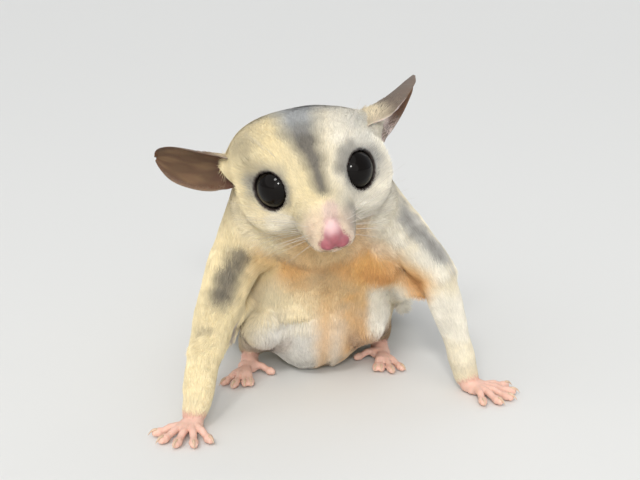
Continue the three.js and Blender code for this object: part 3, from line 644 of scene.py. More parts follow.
def coat_colour(P):
    """The colour of coat and skin at each point."""
    H, on_head = by_head(P)
    x, y, z = P.T
    hx, hy, hz = H.T
    uneven = waves(P, 14, 3)
    fine = waves(P, 5, 4)
    grain = waves(P, 2.2, 6)
    colour = Paint(len(P), CREAM)
    # The back: grey, with a ragged edge along the flanks
    back = smooth(0.3, 0.75, (z - 17) / 24 + 0.12 * uneven + 0.05 * fine)
    colour(GREY, 0.7 * (back * smooth(-34, -22, y + 0.3 * (z - 44))))
    # The underside: tan on throat and chest, white below
    front = smooth(-26, -34, y)
    inner = smooth(24, 15, np.abs(x - 3) + 1.2 * fine)
    throat = smooth(20, 33, z + 2.5 * uneven) * smooth(47, 39, z + 0.6 * np.maximum(np.abs(x - 1) - 6, 0))
    colour(TAN, 0.82 * throat * front * inner)
    deep = spot(P, [-4, -45, 34], [11, 9, 5.5]) + 0.6 * spot(P, [12, -43, 32], [9, 8, 5])
    colour(DEEP_TAN, 0.22 * deep * (1 + 0.25 * fine) * front)
    below = smooth(22, 14, z + 1.5 * uneven - 0.25 * np.minimum(x, 0))
    colour(BELLY, 0.85 * front * below * inner)
    left_side = smooth(3, 9, x) * smooth(32, 22, z) * smooth(17, 12, x)
    colour(TAN, 0.6 * front * left_side * (1.1 + 0.2 * fine))
    crease = bell(x - 2.4 - 0.06 * (z - 12) + 0.4 * fine, 1.6 + 0.1 * z) * smooth(34, 24, z) * front
    colour(TAN, 0.55 * crease)
    flank = smooth(11.5, 14.5, x) * smooth(27, 23, z) * smooth(12, 15, z)
    colour(WHITE, 0.85 * flank * front)
    colour(BELLY, 0.8 * smooth(8, 2, z) * smooth(-20, -10, y))
    # Arms
    off_head = 1 - on_head
    for s, pale in ((1, WHITE), (-1, YELLOW)):
        colour(pale, 0.5 * smooth(2.8, 0.8, chain(ARMS[s])(P)) * off_head * smooth(0, 10, z))
    colour(BROWN_GREY, 0.32 * spot(P, [-22, -38, 46], [5, 9, 6]) * off_head)
    ragged = 1.1 * fine + 0.7 * grain
    patch = path([[-18.4, -49.1, 34.8], [-20.6, -51.3, 30.8], [-21.6, -52.8, 28.4]])(P) + 0.3 * ragged
    colour(BROWN_GREY, 0.75 * smooth(6.8, 1.2, patch) * off_head)
    colour(DARK_GREY * 0.8, 0.75 * smooth(5.0, 0.2, patch) * off_head)
    low_patch = spot(P, [-25.5, -57, 19], [2.4, 3, 2]) * (0.6 + 0.5 * fine)
    colour(BROWN_GREY, 0.3 * low_patch)
    band = path([[15.5, -34, 52], [19.4, -39.1, 47.6], [25.4, -41.8, 40.8], [30.5, -43, 34.5]])(P)
    band = band + 0.4 * ragged
    colour(GREY, 0.8 * smooth(5.8, 1.8, band) * off_head)
    colour(DARK_GREY, 0.5 * smooth(2.6, 0.6, band) * off_head)
    strip = path([[16, -43, 41], [23, -45, 36], [29.5, -46, 30.5]])(P) + 0.5 * fine
    colour(WHITE, 0.95 * smooth(4.2, 1.4, strip) * off_head)
    under_arm = path([[14, -41, 30], [20, -40, 28], [26, -40, 26.5]])(P) + 0.2 * fine
    colour(TAN, 0.8 * smooth(7.5, 2.0, under_arm) * smooth(36, 30, z))
    colour(DEEP_TAN, 0.75 * smooth(5.5, 0.8, under_arm) * smooth(33, 27, z))
    inner_fore = path([[-20.8, -47, 19], [-21.6, -55, 11], [-23.6, -62, 6]])(P)
    colour(LAVENDER, 0.7 * smooth(3.4, 2.0, inner_fore))
    # The membrane's edge is white, with grey above it behind the arms
    for s in SIDES:
        edge = path(MEMBRANES[s][0][3:])(P)
        root = path(MEMBRANES[s][1])(P)
        colour(WHITE, 0.8 * smooth(3.6, 1.8, edge))
        behind_arm = smooth(-24, -8, y) * smooth(14, -2, y)
        colour(GREY, 0.35 * smooth(8, 3, root) * smooth(2.4, 3.6, edge) * behind_arm)
        leg = chain(LEGS[s][2:])(P)
        # The lower legs' own tan-brown, laid on more strongly on the left leg, which lies in shade: partly
        # the leg's colour, partly painted shade
        colour(LEG_BROWN_AND_SHADE, (0.5 if s > 0 else 0.2) * smooth(2.6, 0.8, leg) * smooth(15, 10, z))
    # Head
    face = Paint(len(P), CREAM)
    face(WHITE, 0.85 * smooth(0, 8, hx + 0.6 * fine))
    face(YELLOW, 0.6 * smooth(0, -8, hx) * smooth(-7, -2, hz))
    face(YELLOW, 0.55 * smooth(-6, -2, hx) * smooth(3, 0, hx) * smooth(0, -7, hy) * smooth(-3, 1, hz))
    jaw = smooth(-9, -15, hz) * smooth(-5, 3, hy) * smooth(-13, -5, hx) * smooth(13, 6, hx)
    face(TAN, 0.7 * jaw)
    face(WHITE, 0.5 * smooth(3.4, 1.4, path([[-11, -2.5, -6.5], [-8, -7, -6.5]])(H)))
    # The patch on the crown narrows to a stripe between the eyes
    back_from = [-10, -8, -5.7, -4, -1.8, 2.5, 8, 14, 24]
    half = np.interp(hy, back_from, [0.5, 1.3, 1.6, 1.8, 2.4, 3.5, 4.1, 4.8, 6.5])
    middle = np.interp(hy, [-9.5, -4, -1.8, 2.5, 8, 20], [0.65, 0.45, 0, -0.7, -0.9, 0])
    aside = np.abs(hx - middle) + 0.35 * fine
    soft_edge = np.interp(hy, [-8, 4], [0.9, 2.3])
    crown = np.clip((half + soft_edge - aside) / (2 * soft_edge), 0, 1)
    crown = crown * smooth(-2, 1.5, hz) * smooth(-10.4, -8.6, hy)
    tone = Paint(len(P), DARK_GREY * 0.9)
    tone(BLUE_GREY, smooth(-1, 7.5, hy + 0.8 * fine))
    tone(DARK_GREY, 0.45 * spot(H, [-0.6, 3, 11], [2.2, 3.0, 4]))
    tone(GREY, smooth(13, 20, hy))
    face(tone.rgb, 0.9 * crown)
    behind = smooth(8, 18, hy) * smooth(-4, 6, hz) * smooth(16, 9, np.abs(hx))
    face(GREY, 0.5 * behind)
    for s in SIDES:
        ahead, away = by_eye(H, s)
        high = hz - eye_at(s)[2]
        # Stronger before and behind the eye than above it, and faint below
        level = smooth(0.95, 0.3, np.abs(high - 0.8) / np.maximum(away, 1))
        above = smooth(-0.85, 0.1, high / np.maximum(away, 1))
        ring = smooth(8.2, 5.0, away + 0.4 * fine) * smooth(-6, -1, ahead)
        face(GREY * 0.7, 0.72 * ring * above * (0.6 + 0.4 * level))
        close_by = smooth(5.8, 4.8, away + 0.15 * fine) * smooth(0, 1, ahead)
        face(DARK_GREY, 0.7 * close_by)
        rim = smooth(5.1, 4.85, away) * smooth(0.8, 1.6, ahead)
        face(LID, rim)
        smudge = spot(H, [13.4 * s, 6.6, 7.6], [3.6, 5, 3.4]) * (0.85 + 0.3 * fine)
        face(BROWN_GREY if s < 0 else BLUE_GREY, (0.55 if s < 0 else 0.35) * smudge)
        beside = spot(H, [0.4 + 4.7 * s, -10.6, -5.2], [2.0, 2.8, 2.8])
        face(DARK_GREY * 1.6, (0.5 if s > 0 else 0.25) * beside)
    brow = path([[4.6, -4.4, 2.6], [6.6, -2.2, 5.0], [9.2, 0.6, 6.0]])(H) + 0.2 * fine
    face(DARK_GREY * 1.25, 0.55 * smooth(2.2, 0.4, brow))
    # Rows of dark spots where the whiskers grow
    for s in SIDES:
        for row in range(3):
            for n in range(4):
                at = [0.4 + s * (3.2 + 0.9 * n), -12.2 + 1.1 * n, -4.6 - 1.15 * row + 0.25 * n]
                face(BROWN_GREY, (0.4 if s < 0 else 0.2) * spot(H, at, [0.42, 0.6, 0.3]))
    muzzle = smooth(-9.5, -13.2, hy + 0.3 * fine)
    face(MUZZLE, 0.42 * muzzle)
    bridge = smooth(2.4, 0.9, path([[1.3, -11.5, -2.2], [0.8, -14.2, -4.6]])(H))
    face(BRIDGE, 0.65 * bridge)
    over_nose = hz - NOSE_AT[2]
    nose = smooth(0.75, 0.25, nose_form(H)) * smooth(-12.6, -13.6, hy) * smooth(4.4, 2.6, over_nose)
    face(mix(NOSE_TOP, PINK, smooth(2.8, 0.2, over_nose)[:, None]), nose)
    wings = [from_nose([2.2 * s, -0.6, -1.9, 0], [1.0 * s, -1.7, -1.7, 0])(H) for s in SIDES]
    middle = from_nose([0.1, -2.1, 0.6, 0], [0, -1.7, -1.8, 0])(H)
    face(DEEP_PINK, 0.45 * nose * smooth(1.7, 0.5, np.minimum(*wings)))
    face(DEEP_PINK, 0.4 * nose * smooth(1.5, 0.3, middle))
    lips = [[-6.6, -5, -9.3], [-4.8, -8.6, -10.3], [0.5, -14, -10.1], [5.2, -8.6, -10.3], [6.8, -5, -9.3]]
    face(PINK * 0.8, 0.5 * smooth(1.1, 0.4, path(lips)(H)))
    colour(face.rgb, on_head)
    # Tail: grey above at its root, pale below and towards its tip
    tail = Paint(len(P), TAIL_FUR)
    tail(GREY, 0.7 * smooth(3, 11, z + 0.8 * fine) * smooth(175, 90, y))
    tail(BELLY, 0.5 * smooth(4, 1, z))
    colour(tail.rgb, smooth(38, 60, y))
    stripe = smooth(4.4, 0.8, np.abs(x - 0.3) + 0.25 * fine) * smooth(-32, -22, y) * smooth(60, 40, y)
    colour(DARK_GREY, 0.65 * stripe * smooth(20, 28, z + 0.5 * np.maximum(y, 0)) * off_head)
    # Bare hands and feet
    for paw in paw_forms:
        colour(PALE_PINK, smooth(1.4, 0.3, paw(P)) * smooth(5.8, 4.0, z))
    return np.clip(colour.rgb * (1 + 0.035 * fine + 0.035 * uneven + 0.03 * grain)[:, None], 0, 1)


# Meshes


REGIONS = ("head", "body", "tail", "left arm", "right arm", "left leg", "right leg", "left ear", "right ear")


def box_unwrap(P, N, region=None):
    """Places on an unwrap of the form itself: six sides of each region, laid in a grid of tiles."""
    side = np.abs(N).argmax(1)
    chart = side * 2 + (np.take_along_axis(N, side[:, None], 1)[:, 0] < 0)
    low, high = P.min(0) - 0.01, P.max(0) + 0.01
    flat = np.take_along_axis((P - low) / (high - low).max(), np.array([[1, 2], [0, 2], [0, 1]])[side], 1)
    if region is None:
        tile, tiles = [chart % 3, chart // 3], [3, 2]
    else:
        tile, tiles = [chart, region], [6, len(REGIONS)]
    return (np.stack(tile, 1) + 0.02 + 0.96 * flat) / tiles


def unwrap_faces(V, F, N, region=None):
    """The same for each corner of each face, with a normal for each face."""
    if region is not None:
        region = np.repeat(region, F.shape[1])
    return box_unwrap(V[F].reshape(-1, 3), np.repeat(N, F.shape[1], 0), region)


def in_scene(name, data):
    thing = bpy.data.objects.new(name, data)
    scene.collection.objects.link(thing)
    return thing


def new_object(name, V, F, colours=None, uv=None, rounded=True):
    """A mesh from points in millimetres and faces of one length, with a colour for each point and a place
    on the OFBake map for each corner or for each point."""
    mesh = bpy.data.meshes.new(name)
    count, sides = F.shape
    P = (V - [0, SEAT, 0]) * METRES
    mesh.vertices.add(len(P))
    mesh.vertices.foreach_set("co", P.astype(np.float32).ravel())
    mesh.loops.add(count * sides)
    mesh.loops.foreach_set("vertex_index", F.astype(np.int32).ravel())
    mesh.polygons.add(count)
    mesh.polygons.foreach_set("loop_start", np.arange(0, count * sides, sides, dtype=np.int32))
    mesh.polygons.foreach_set("use_smooth", np.full(count, rounded))
    mesh.update(calc_edges=True)
    if colours is not None:
        layer = mesh.color_attributes.new("Markings", "FLOAT_COLOR", "POINT")
        rgba = np.ones((len(P), 4), np.float32)
        rgba[:, :3] = colours
        layer.data.foreach_set("color", rgba.ravel())
    if uv is not None:
        layer = mesh.uv_layers.new(name="OFBake")
        at = uv if len(uv) == count * sides else uv[F.ravel()]
        layer.data.foreach_set("uv", at.astype(np.float32).ravel())
    return in_scene(name, mesh)


def material(name, rough, colour=None, ior=1.45, subsurface=0.0, sheen=0.0, bump=0.0, mottle=0.0):
    """Without a colour of its own, a material takes the mesh's markings, a little mottled."""
    made = bpy.data.materials.new(name)
    made.use_nodes = True
    nodes, links = made.node_tree.nodes, made.node_tree.links

    def fill(node, values):
        """Sets the node's inputs, each to a value or to the output of another node."""
        for socket, value in values.items():
            if isinstance(value, bpy.types.NodeSocket):
                links.new(value, node.inputs[socket])
            else:
                node.inputs[socket].default_value = value
        return node

    def add(kind, values):
        return fill(nodes.new("ShaderNode" + kind), values)

    def noise(scale, detail):
        place = add("TexCoord", {}).outputs["Object"]
        return add("TexNoise", {"Vector": place, "Scale": scale, "Detail": detail}).outputs["Fac"]

    settings = {"Roughness": rough, "IOR": ior}
    if subsurface:
        settings["Subsurface Weight"] = subsurface
        settings["Subsurface Radius"] = (1.0, 0.45, 0.3)
        settings["Subsurface Scale"] = 0.0012
    if sheen:
        settings["Sheen Weight"] = sheen
        settings["Sheen Roughness"] = 0.5
    if colour is None:
        marks = nodes.new("ShaderNodeVertexColor")
        marks.layer_name = "Markings"
        spread = add("MapRange", {"Value": noise(420.0, 4.0), "To Min": 1 - mottle, "To Max": 1 + mottle})
        times = nodes.new("ShaderNodeVectorMath")
        times.operation = "SCALE"
        fill(times, {0: marks.outputs["Color"], "Scale": spread.outputs["Result"]})
        settings["Base Color"] = times.outputs["Vector"]
    else:
        settings["Base Color"] = (*colour, 1)
    if bump:
        rise = add("Bump", {"Strength": bump, "Distance": 0.0003, "Height": noise(900.0, 3.0)})
        settings["Normal"] = rise.outputs["Normal"]
    fill(nodes["Principled BSDF"], settings)
    return made


COAT = material("coat", 0.8, sheen=0.15, mottle=0.05)
SKIN = material("skin", 0.6, subsurface=0.15, bump=0.5, mottle=0.1)
EYE = material("eye", 0.03, linear(12, 8, 6), ior=1.26)
CLAW = material("claw", 0.3, linear(206, 178, 152), subsurface=0.1)
WHISKER = material("whisker", 0.45, linear(206, 198, 188))

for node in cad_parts.values():
    if node.type == "MESH":
        node.data.materials.clear()
        node.data.materials.append(SKIN)


def add_piece(thing, finish, slot, *nodes):
    thing.data.materials.append(finish)
    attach(thing, "root")
    if nodes:
        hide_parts(*nodes)


FLESH = ["head", "neck", "torso", "tail_1", "tail_2", "tail_3"]
FLESH += [f"{part}_{side}" for side in SIDES.values()
          for part in ("upper_arm", "forearm", "hand", "thigh", "shank", "foot", "membrane", "ear")]

skin_points, skin_faces = skin_mesh()
skin_normals = vertex_normals(skin_points, skin_faces)


# Ears

EAR_ROWS, EAR_COLUMNS = ((60, 42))


def ear_surface(side):
    """Both faces of an ear as grids of points in the head's frame, with each point's place u along the ear,
    from 0 to 1, and v across it, from -1 to 1."""
    ear = EARS[side]
    onward, facing = unit(ear["along"]), np.array(ear["facing"])
    inward = unit(facing - onward * (onward @ facing))
    across = np.cross(onward, inward) * side
    u, v = np.meshgrid(np.linspace(0, 1, EAR_ROWS), np.linspace(-1, 1, EAR_COLUMNS), indexing="ij")
    bow = ear["bow"] * np.sin(math.pi * u)
    if side > 0:
        # Rolled, and seen from behind: a half tube that narrows to the tip
        wide = v * np.interp(u, [0, 0.2, 0.35, 0.7, 0.92, 1], [2.6, 4.4, 4.2, 2.9, 1.2, 0.25])
        deep = np.interp(u, [0, 0.2, 0.35, 0.6, 0.85, 1], [3.0, 7.0, 5.4, 3.8, 2.0, 0.4])
        deep = deep * (np.abs(v) ** 1.8 - 0.5) + bow
        aside = 0.0
        long = 1.15 * u - 0.17
    else:
        wide = v * 0.5 * EAR_WIDE * (0.55 + 0.9 * u - 0.2 * u * u) * np.sqrt(1.004 - u**3.2)
        deep = EAR_CUP * (1.15 - 0.95 * u) * (v * v - 0.4)
        aside = bow
        long = 1.04 * u - 0.12
    wide = wide * (1 + 0.015 * np.sin(14 * u + 2 * v)) + aside
    # Inside: a ridge near the upper edge, folds across the base and fine wrinkles
    ridge = 0.75 * bell(v - 0.5, 0.15) * smooth(0.6, 0.1, u)
    folds = 0.3 * np.sin(30 * u + 2.5 * v) * smooth(0.45, 0.1, u)
    curl = 0.5 * smooth(0.86, 1.0, np.abs(v)) * smooth(0.0, 0.3, u) * smooth(1.0, 0.85, u)
    thick = mix(0.75, 0.42, u) * (1 - 0.45 * smooth(0.7, 1, np.abs(v)))
    middle = np.array(ear["root"], float) + onward * (EAR_LONG * long)[..., None] + across * wide[..., None]
    front = middle + inward * (deep + ridge + folds + curl - 0.1)[..., None]
    back = middle + inward * (deep + 0.6 * ridge + curl - 0.1 - thick)[..., None]
    return front, back, u.ravel(), v.ravel()


def ear_colour(side, u, v):
    """Colours of the inner face, then of the outer one."""
    inner = Paint(len(u), EAR_BROWN)
    inner(EAR_DARK, 0.85 * smooth(0.55, 0.1, u))
    mottled = np.sin(9 * u + 3 * v) * np.sin(7 * v - 5 * u)
    inner(EAR_PATCHES, 0.35 * smooth(-0.3, 0.8, mottled) * smooth(0.2, 0.5, u))
    inner(EAR_RIM, 0.5 * smooth(0.93, 0.99, -v * side) * smooth(0.1, 0.4, u))
    if side > 0:
        inner(EAR_FOLD, np.full(len(u), 0.8))
        crinkle = smooth(-0.2, 0.6, np.sin(34 * u + 9 * v))
        inner(EAR_CRINKLES, (0.6 + 0.35 * crinkle) * smooth(0.58, 0.4, u))
    veins = smooth(0.55, 0.9, np.abs(np.sin(5 * v + 9 * u + 1.5 * np.sin(7 * v))))
    inner(EAR_DARK, 0.2 * veins)
    outer = Paint(len(u), EAR_BACK)
    outer(EAR_ROOT, 0.75 * smooth(0.4, 0.05, u))
    return np.concatenate([inner.rgb, outer.rgb])


def ear_mesh(side):
    rows, columns = EAR_ROWS, EAR_COLUMNS
    front, back, u, v = ear_surface(side)
    V = from_head(np.concatenate([front.reshape(-1, 3), back.reshape(-1, 3)]))
    half = rows * columns
    i, j = np.meshgrid(np.arange(rows - 1), np.arange(columns - 1), indexing="ij")
    a = (i * columns + j).ravel()
    quad = np.stack([a, a + columns, a + columns + 1, a + 1], 1)
    edge = np.concatenate([
        np.arange(0, (rows - 1) * columns, columns),
        np.arange((rows - 1) * columns, half - 1),
        np.arange(half - 1, columns - 1, -columns),
        np.arange(columns - 1, 0, -1),
    ])
    after = np.roll(edge, -1)
    band = np.stack([after, edge, edge + half, after + half], 1)
    F = np.concatenate([quad, (quad + half)[:, ::-1], band])
    N = vertex_normals(V, F)
    probe = V[half + half // 2] - V[half // 2]
    if N[half // 2] @ probe > 0:
        F = F[:, ::-1]
    return V, F, ear_colour(side, u, v)


# The skin with both ears, as one piece

SKIN_SHADE = 0.94  # painted shade: the skin, though not the ears, is painted darker than the fur over it, for the shade in the gaps between tufts
TAIL_FROM = 43

ear_meshes = {side: ear_mesh(side) for side in SIDES}
parts = [(skin_points, skin_faces, coat_colour(skin_points) * SKIN_SHADE), *ear_meshes.values()]
starts = np.cumsum([0] + [len(points) for points, _, _ in parts])
V = np.concatenate([points for points, _, _ in parts])
F = np.concatenate([faces + start for (_, faces, _), start in zip(parts, starts)])
C = np.concatenate([colours for _, _, colours in parts])


def region_of(P):
    """The number in REGIONS of each point's part, so that each part has tiles of its own on the unwrap."""
    found = np.full(len(P), REGIONS.index("body"))
    found[P[:, 1] > TAIL_FROM] = REGIONS.index("tail")
    body_like = trunk_form(P)
    limbs = {"left arm": ARMS[1], "right arm": ARMS[-1], "left leg": LEGS[1], "right leg": LEGS[-1]}
    for name, joints in limbs.items():
        d = chain(joints[1:])(P)
        found[(d < body_like - 0.5) & (d < 2.5)] = REGIONS.index(name)
    found[far(in_head(P), [0, 8, -2]) < 20] = REGIONS.index("head")
    return found


region = region_of(V[F].mean(1))
ear_start = len(skin_faces)
right_ear_start = ear_start + len(parts[1][1])
region[ear_start:right_ear_start] = REGIONS.index("left ear")
region[right_ear_start:] = REGIONS.index("right ear")
skin = new_object("skin", V, F, C, unwrap_faces(V, F, unit(crosses(V, F)), region))
add_piece(skin, SKIN, "coat", *FLESH)


# Eyes


def tube_faces(rings, sides):
    """Triangles between a tube's points: one at its start, those of each ring, and one at its end."""
    found = []
    last = 1 + sides * (rings - 1)
    for k in range(sides):
        m = (k + 1) % sides
        found.append([0, 1 + m, 1 + k])
        for start in range(1, last, sides):
            a, b = start + k, start + m
            found += [[a, b, b + sides], [a, b + sides, a + sides]]
        found.append([last + k, last + m, last + sides])
    return np.array(found)


def ball_mesh(centre, radius, axis, rings):
    turns = 2 * rings
    theta = np.linspace(0, math.pi, rings + 1)[1:-1, None]
    phi = np.arange(turns) * 2 * math.pi / turns
    ring = np.stack([np.sin(theta) * np.cos(phi), np.sin(theta) * np.sin(phi), np.cos(theta) + 0 * phi], -1)
    P = np.concatenate([[[0, 0, 1]], ring.reshape(-1, 3), [[0, 0, -1]]])
    z = unit(axis)
    x = unit(np.cross([0, 0, 1], z))
    y = np.cross(z, x)
    V = centre + radius * (P[:, :1] * x + P[:, 1:2] * y + P[:, 2:3] * z)
    return V, tube_faces(rings - 1, turns)[:, [0, 2, 1]]


for side, name in SIDES.items():
    middle = from_head(eye_at(side))
    V, F = ball_mesh(middle, EYE_RADIUS, HEAD @ eye_axis(side), 48)
    eye = new_object(f"eye_ball_{name}", V, F, None, unwrap_faces(V, F, unit(V - middle)[F[:, 0]]))
    add_piece(eye, EYE, "eye", f"eye_{name}")


# Claws and whiskers: tapered tubes through points


def tubes(paths, radii, sides=6):
    """Closed tapered tubes. paths is (count, stations, 3), radii (count, stations)."""
    count, stations, _ = paths.shape
    way = unit(np.gradient(paths, axis=1))
    side = unit(np.cross(way, [0.03, 0.02, 1.0]))
    up = np.cross(side, way)
    angle = np.arange(sides) * 2 * math.pi / sides
    ring = side[:, :, None] * np.cos(angle)[:, None] + up[:, :, None] * np.sin(angle)[:, None]
    rings = (paths[:, :, None] + ring * radii[:, :, None, None]).reshape(count, -1, 3)
    V = np.concatenate([paths[:, :1], rings, paths[:, -1:]], 1)
    F = tube_faces(stations, sides)[:, ::-1] + np.arange(count)[:, None, None] * V.shape[1]
    return V.reshape(-1, 3), F.reshape(-1, 3)


def add_tubes(name, paths, radii, sides, finish, slot):
    V, F = tubes(np.array(paths), np.tile(radii, (len(paths), 1)), sides)
    thing = new_object(name, V, F, None, unwrap_faces(V, F, unit(V - V.mean(0))[F[:, 0]]))
    add_piece(thing, finish, slot)


CLAW_LONG = 1.9  # past the digit's end
CLAW_RADII = [0.44, 0.42, 0.37, 0.3, 0.22, 0.13, 0.03]


def claw_path(on, long):
    """Points from inside a digit's end to the claw's tip."""
    ts = np.linspace(0, 1, len(CLAW_RADII))
    tip = 1 + CLAW_LONG / long
    return [on(mix(0.93, tip, t), 1.75 + 0.5 * math.sin(2.2 * t) - 1.35 * t**2) for t in ts]


digits = [digit for places, sizes in PAWS for s in SIDES for digit in digits_of(places[s], sizes, s)]
claw_paths = [claw_path(on, long) for on, long, claw in digits if claw]
add_tubes("claws", claw_paths, CLAW_RADII, 8, CLAW, "bare_skin")


# Coat


def lie_of(P, N):
    """The way that the coat lies at each point, along the skin."""
    H, on_head = by_head(P)
    on_head = on_head[:, None]
    way = np.tile([0.0, 1.0, -0.35], (len(P), 1))
    front = smooth(-24, -34, P[:, 1])[:, None]
    way = mix(way, np.array([0, 0.15, -1.0]), front)
    # On the head back from the nose, and away from the middle line
    back_of = unit(H - [0, -19, -7.5])
    for s in SIDES:
        by_ear = smooth(9, 4, far(H, EARS[s]["root"]))[:, None]
        back_of = mix(back_of, unit(EARS[s]["along"]), 0.8 * by_ear)
    back_of = unit(back_of + 0.35 * unit(H * [1, 0, 1] + 1e-6) * smooth(9, 2, np.abs(H[:, 0]))[:, None])
    way = mix(way, back_of @ HEAD.T, on_head)
    # Down the limbs
    low = smooth(14, 9, P[:, 2])[:, None]
    for limbs, first, wide, share in ((ARMS, 1, 3.0, 1.0), (LEGS, 2, 2.5, low)):
        for s in SIDES:
            near = smooth(wide, 0.5, chain(limbs[s][first:])(P))[:, None] * (1 - on_head) * share
            start, middle, end = [np.array(limbs[s][n][:3], float) for n in (first, -2, -1)]
            t = np.clip(((P - start) @ (end - start)) / ((end - start) @ (end - start)), 0, 1)[:, None]
            way = mix(way, mix(unit(middle - start), unit(end - middle), t), near)
    for s in SIDES:
        edge = smooth(4.5, 2.5, path(MEMBRANES[s][0])(P))[:, None]
        way = mix(way, np.array([0.55 * s, 0.5, -0.9]), edge * 0.9)
    way = mix(way, on_tail(P[:, 1])[1], smooth(36, 48, P[:, 1])[:, None])
    return unit(way - N * dot(way, N)[:, None])


def on_tail(y):
    """The middle and radius of the tail at each place along it, and its direction there."""
    order = np.clip(np.searchsorted(TAIL[:, 1], y) - 1, 0, len(TAIL) - 2)
    step = TAIL[order + 1] - TAIL[order]
    share = (y - TAIL[order, 1]) / step[:, 1]
    return TAIL[order] + step * share[:, None], unit(step[:, :3])


def coat_length(P):
    """Millimetres of a tuft that grows at each point."""
    H, on_head = by_head(P)
    long = mix(np.full(len(P), 5.2), 3.2, smooth(-26, -34, P[:, 1]))
    long = mix(long, 2.7, on_head)
    long = mix(long, 1.5, smooth(3, -8, H[:, 1]) * on_head)
    long = mix(long, 0.8, smooth(-9, -12.5, H[:, 1]) * on_head)
    for s in SIDES:
        long = mix(long, 4.2, smooth(8, 4.5, far(H, EARS[s]["root"])))
        long = mix(long, 1.0, smooth(9, 5, before_eye(H, s)))
        long = by_joints(long, P, ARMS[s], {1: 4.6, 2: 3.8, 3: 2.9, 4: 1.4}, (12, 5), 1 - on_head)
        long = by_joints(long, P, LEGS[s], {3: 2.6, 4: 1.2}, (8, 4))
    return long


def bare(P):
    """1 where no fur grows: nose, lids, digits and palms."""
    H = in_head(P)
    none = smooth(0.5, 0.2, nose_form(H)) * smooth(-13, -14, H[:, 1])
    for s in SIDES:
        ahead, away = by_eye(H, s)
        none = np.maximum(none, smooth(5.35, 5.05, away) * (ahead > 0.3))
    for paw in paw_forms:
        none = np.maximum(none, smooth(0.7, 0.3, paw(P)) * smooth(4.4, 3.4, P[:, 2]))
    return np.maximum(none, P[:, 2] < 0.5)


def scatter(V, F, N, density, seed):
    """Points on a quad mesh, with density a function of place that gives tufts for each square millimetre."""
    own = np.random.default_rng(seed)
    T = np.concatenate([F[:, [0, 1, 2]], F[:, [0, 2, 3]]])
    A, B, C = V[T.T]
    area = 0.5 * np.linalg.norm(np.cross(B - A, C - A), axis=1)
    wanted = area * density((A + B + C) / 3)
    count = np.floor(wanted + own.random(len(T))).astype(int)
    t = np.repeat(np.arange(len(T)), count)
    r, q = own.random(len(t)), own.random(len(t))
    flip = r + q > 1
    r[flip], q[flip] = 1 - r[flip], 1 - q[flip]
    P = A[t] + (B - A)[t] * r[:, None] + (C - A)[t] * q[:, None]
    by_a, by_b, by_c = N[T[t].T]
    return P, unit(by_a * (1 - r - q)[:, None] + by_b * r[:, None] + by_c * q[:, None])


ROOT_DEPTH = 0.3  # of a tuft's start under the skin
BEND = 0.45  # the share of its length after which a tuft lies flatter
TUFT_LOW, TUFT_LOWEST = 0.12, 0.1  # over the floor, for a tuft's middle line and for its sides


def tuft_mesh(P, N, way, long, wide, rise, colours, seed, stations=(0.42,), clump=1.7, pull=0.08, stray=0.08):
    """Thin closed tufts that leave the skin at a slant and bend over along it, drawn together in clumps.
    Stations are the shares of the length at which a tuft has its width."""
    own = np.random.default_rng(seed)
    n = len(P)
    side = unit(np.cross(N, way))
    drift = stray * own.normal(size=n) + 0.12 * waves(P, 9, 25)
    way = unit(way * np.cos(drift)[:, None] + side * np.sin(drift)[:, None])
    side = unit(np.cross(N, way))
    long = long * own.uniform(0.75, 1.2, n)
    lift = rise * own.uniform(0.75, 1.25, n)
    steep, flat = [
        unit(way * np.cos(lift * k)[:, None] + N * np.sin(lift * k)[:, None]) for k in (1.25, 0.55)
    ]
    root = P - N * ROOT_DEPTH
    towards = clump_centre(P, clump) - P
    towards -= N * dot(towards, N)[:, None]
    shares = [0.0, *stations, 1.0]
    places = []
    for share in shares:
        p = root + (steep * min(share, BEND) + flat * max(share - BEND, 0)) * long[:, None]
        places.append(p + towards * (pull * share**1.5))
    for p in places:
        p[:, 2] = np.where(p[:, 2] < TUFT_LOW, TUFT_LOW + 0.02 * own.random(n), p[:, 2])
    points = [places[0][:, None]]
    width = wide * own.uniform(0.8, 1.2, n)
    rings = len(stations)
    # Short tufts are bent blades of four faces, long ones have three sides
    sides = 2 if rings == 1 else 3
    for share, p in zip(shares[1:-1], places[1:-1]):
        w = (width * (1.0 if share < 0.5 else 0.75))[:, None]
        points.append(np.stack([p - side * w, p + side * w, p + N * w * 0.4][:sides], 1))
    points.append(places[-1][:, None])
    V = np.concatenate(points, 1)
    V[:, :, 2] = np.maximum(V[:, :, 2], TUFT_LOWEST)
    faces = np.array([[0, 1, 2], [1, 3, 2], [0, 3, 1], [0, 2, 3]]) if sides == 2 else tube_faces(rings, sides)
    verts = V.shape[1]
    F = (faces + np.arange(n)[:, None, None] * verts).reshape(-1, 3)
    # Painted shade and light: each tuft is darker at its root, where shade falls among the tufts, and a
    # little lighter at its tip
    painted_shade_along_tuft = np.concatenate([[0.84], np.repeat(np.linspace(0.97, 1.0, rings), sides), [1.04]])
    tone = own.uniform(0.88, 1.05, n)
    C = np.clip(colours[:, None, :] * painted_shade_along_tuft[None, :, None] * tone[:, None, None], 0, 1)
    # Each tuft is a small patch on the unwrap
    spread = np.zeros((verts, 2))
    spread[1:-1, 0] = np.tile([-0.0012, 0.0012, 0.0][:sides], rings)
    spread[:, 1] = [-0.0014, *np.repeat(np.linspace(0, 0.0008, rings), sides), 0.0015]
    return V.reshape(-1, 3), F, C.reshape(-1, 3), spread


def coat_piece(name, P, N, way, *tufts, **more):
    V, F, C, spread = tuft_mesh(P, N, way, *tufts, **more)
    uv = (box_unwrap(P, N)[:, None] + spread).reshape(-1, 2)
    add_piece(new_object(name, V, F, C, uv, rounded=False), COAT, "coat")


THINNED = 1.0  # the share of tufts that is kept


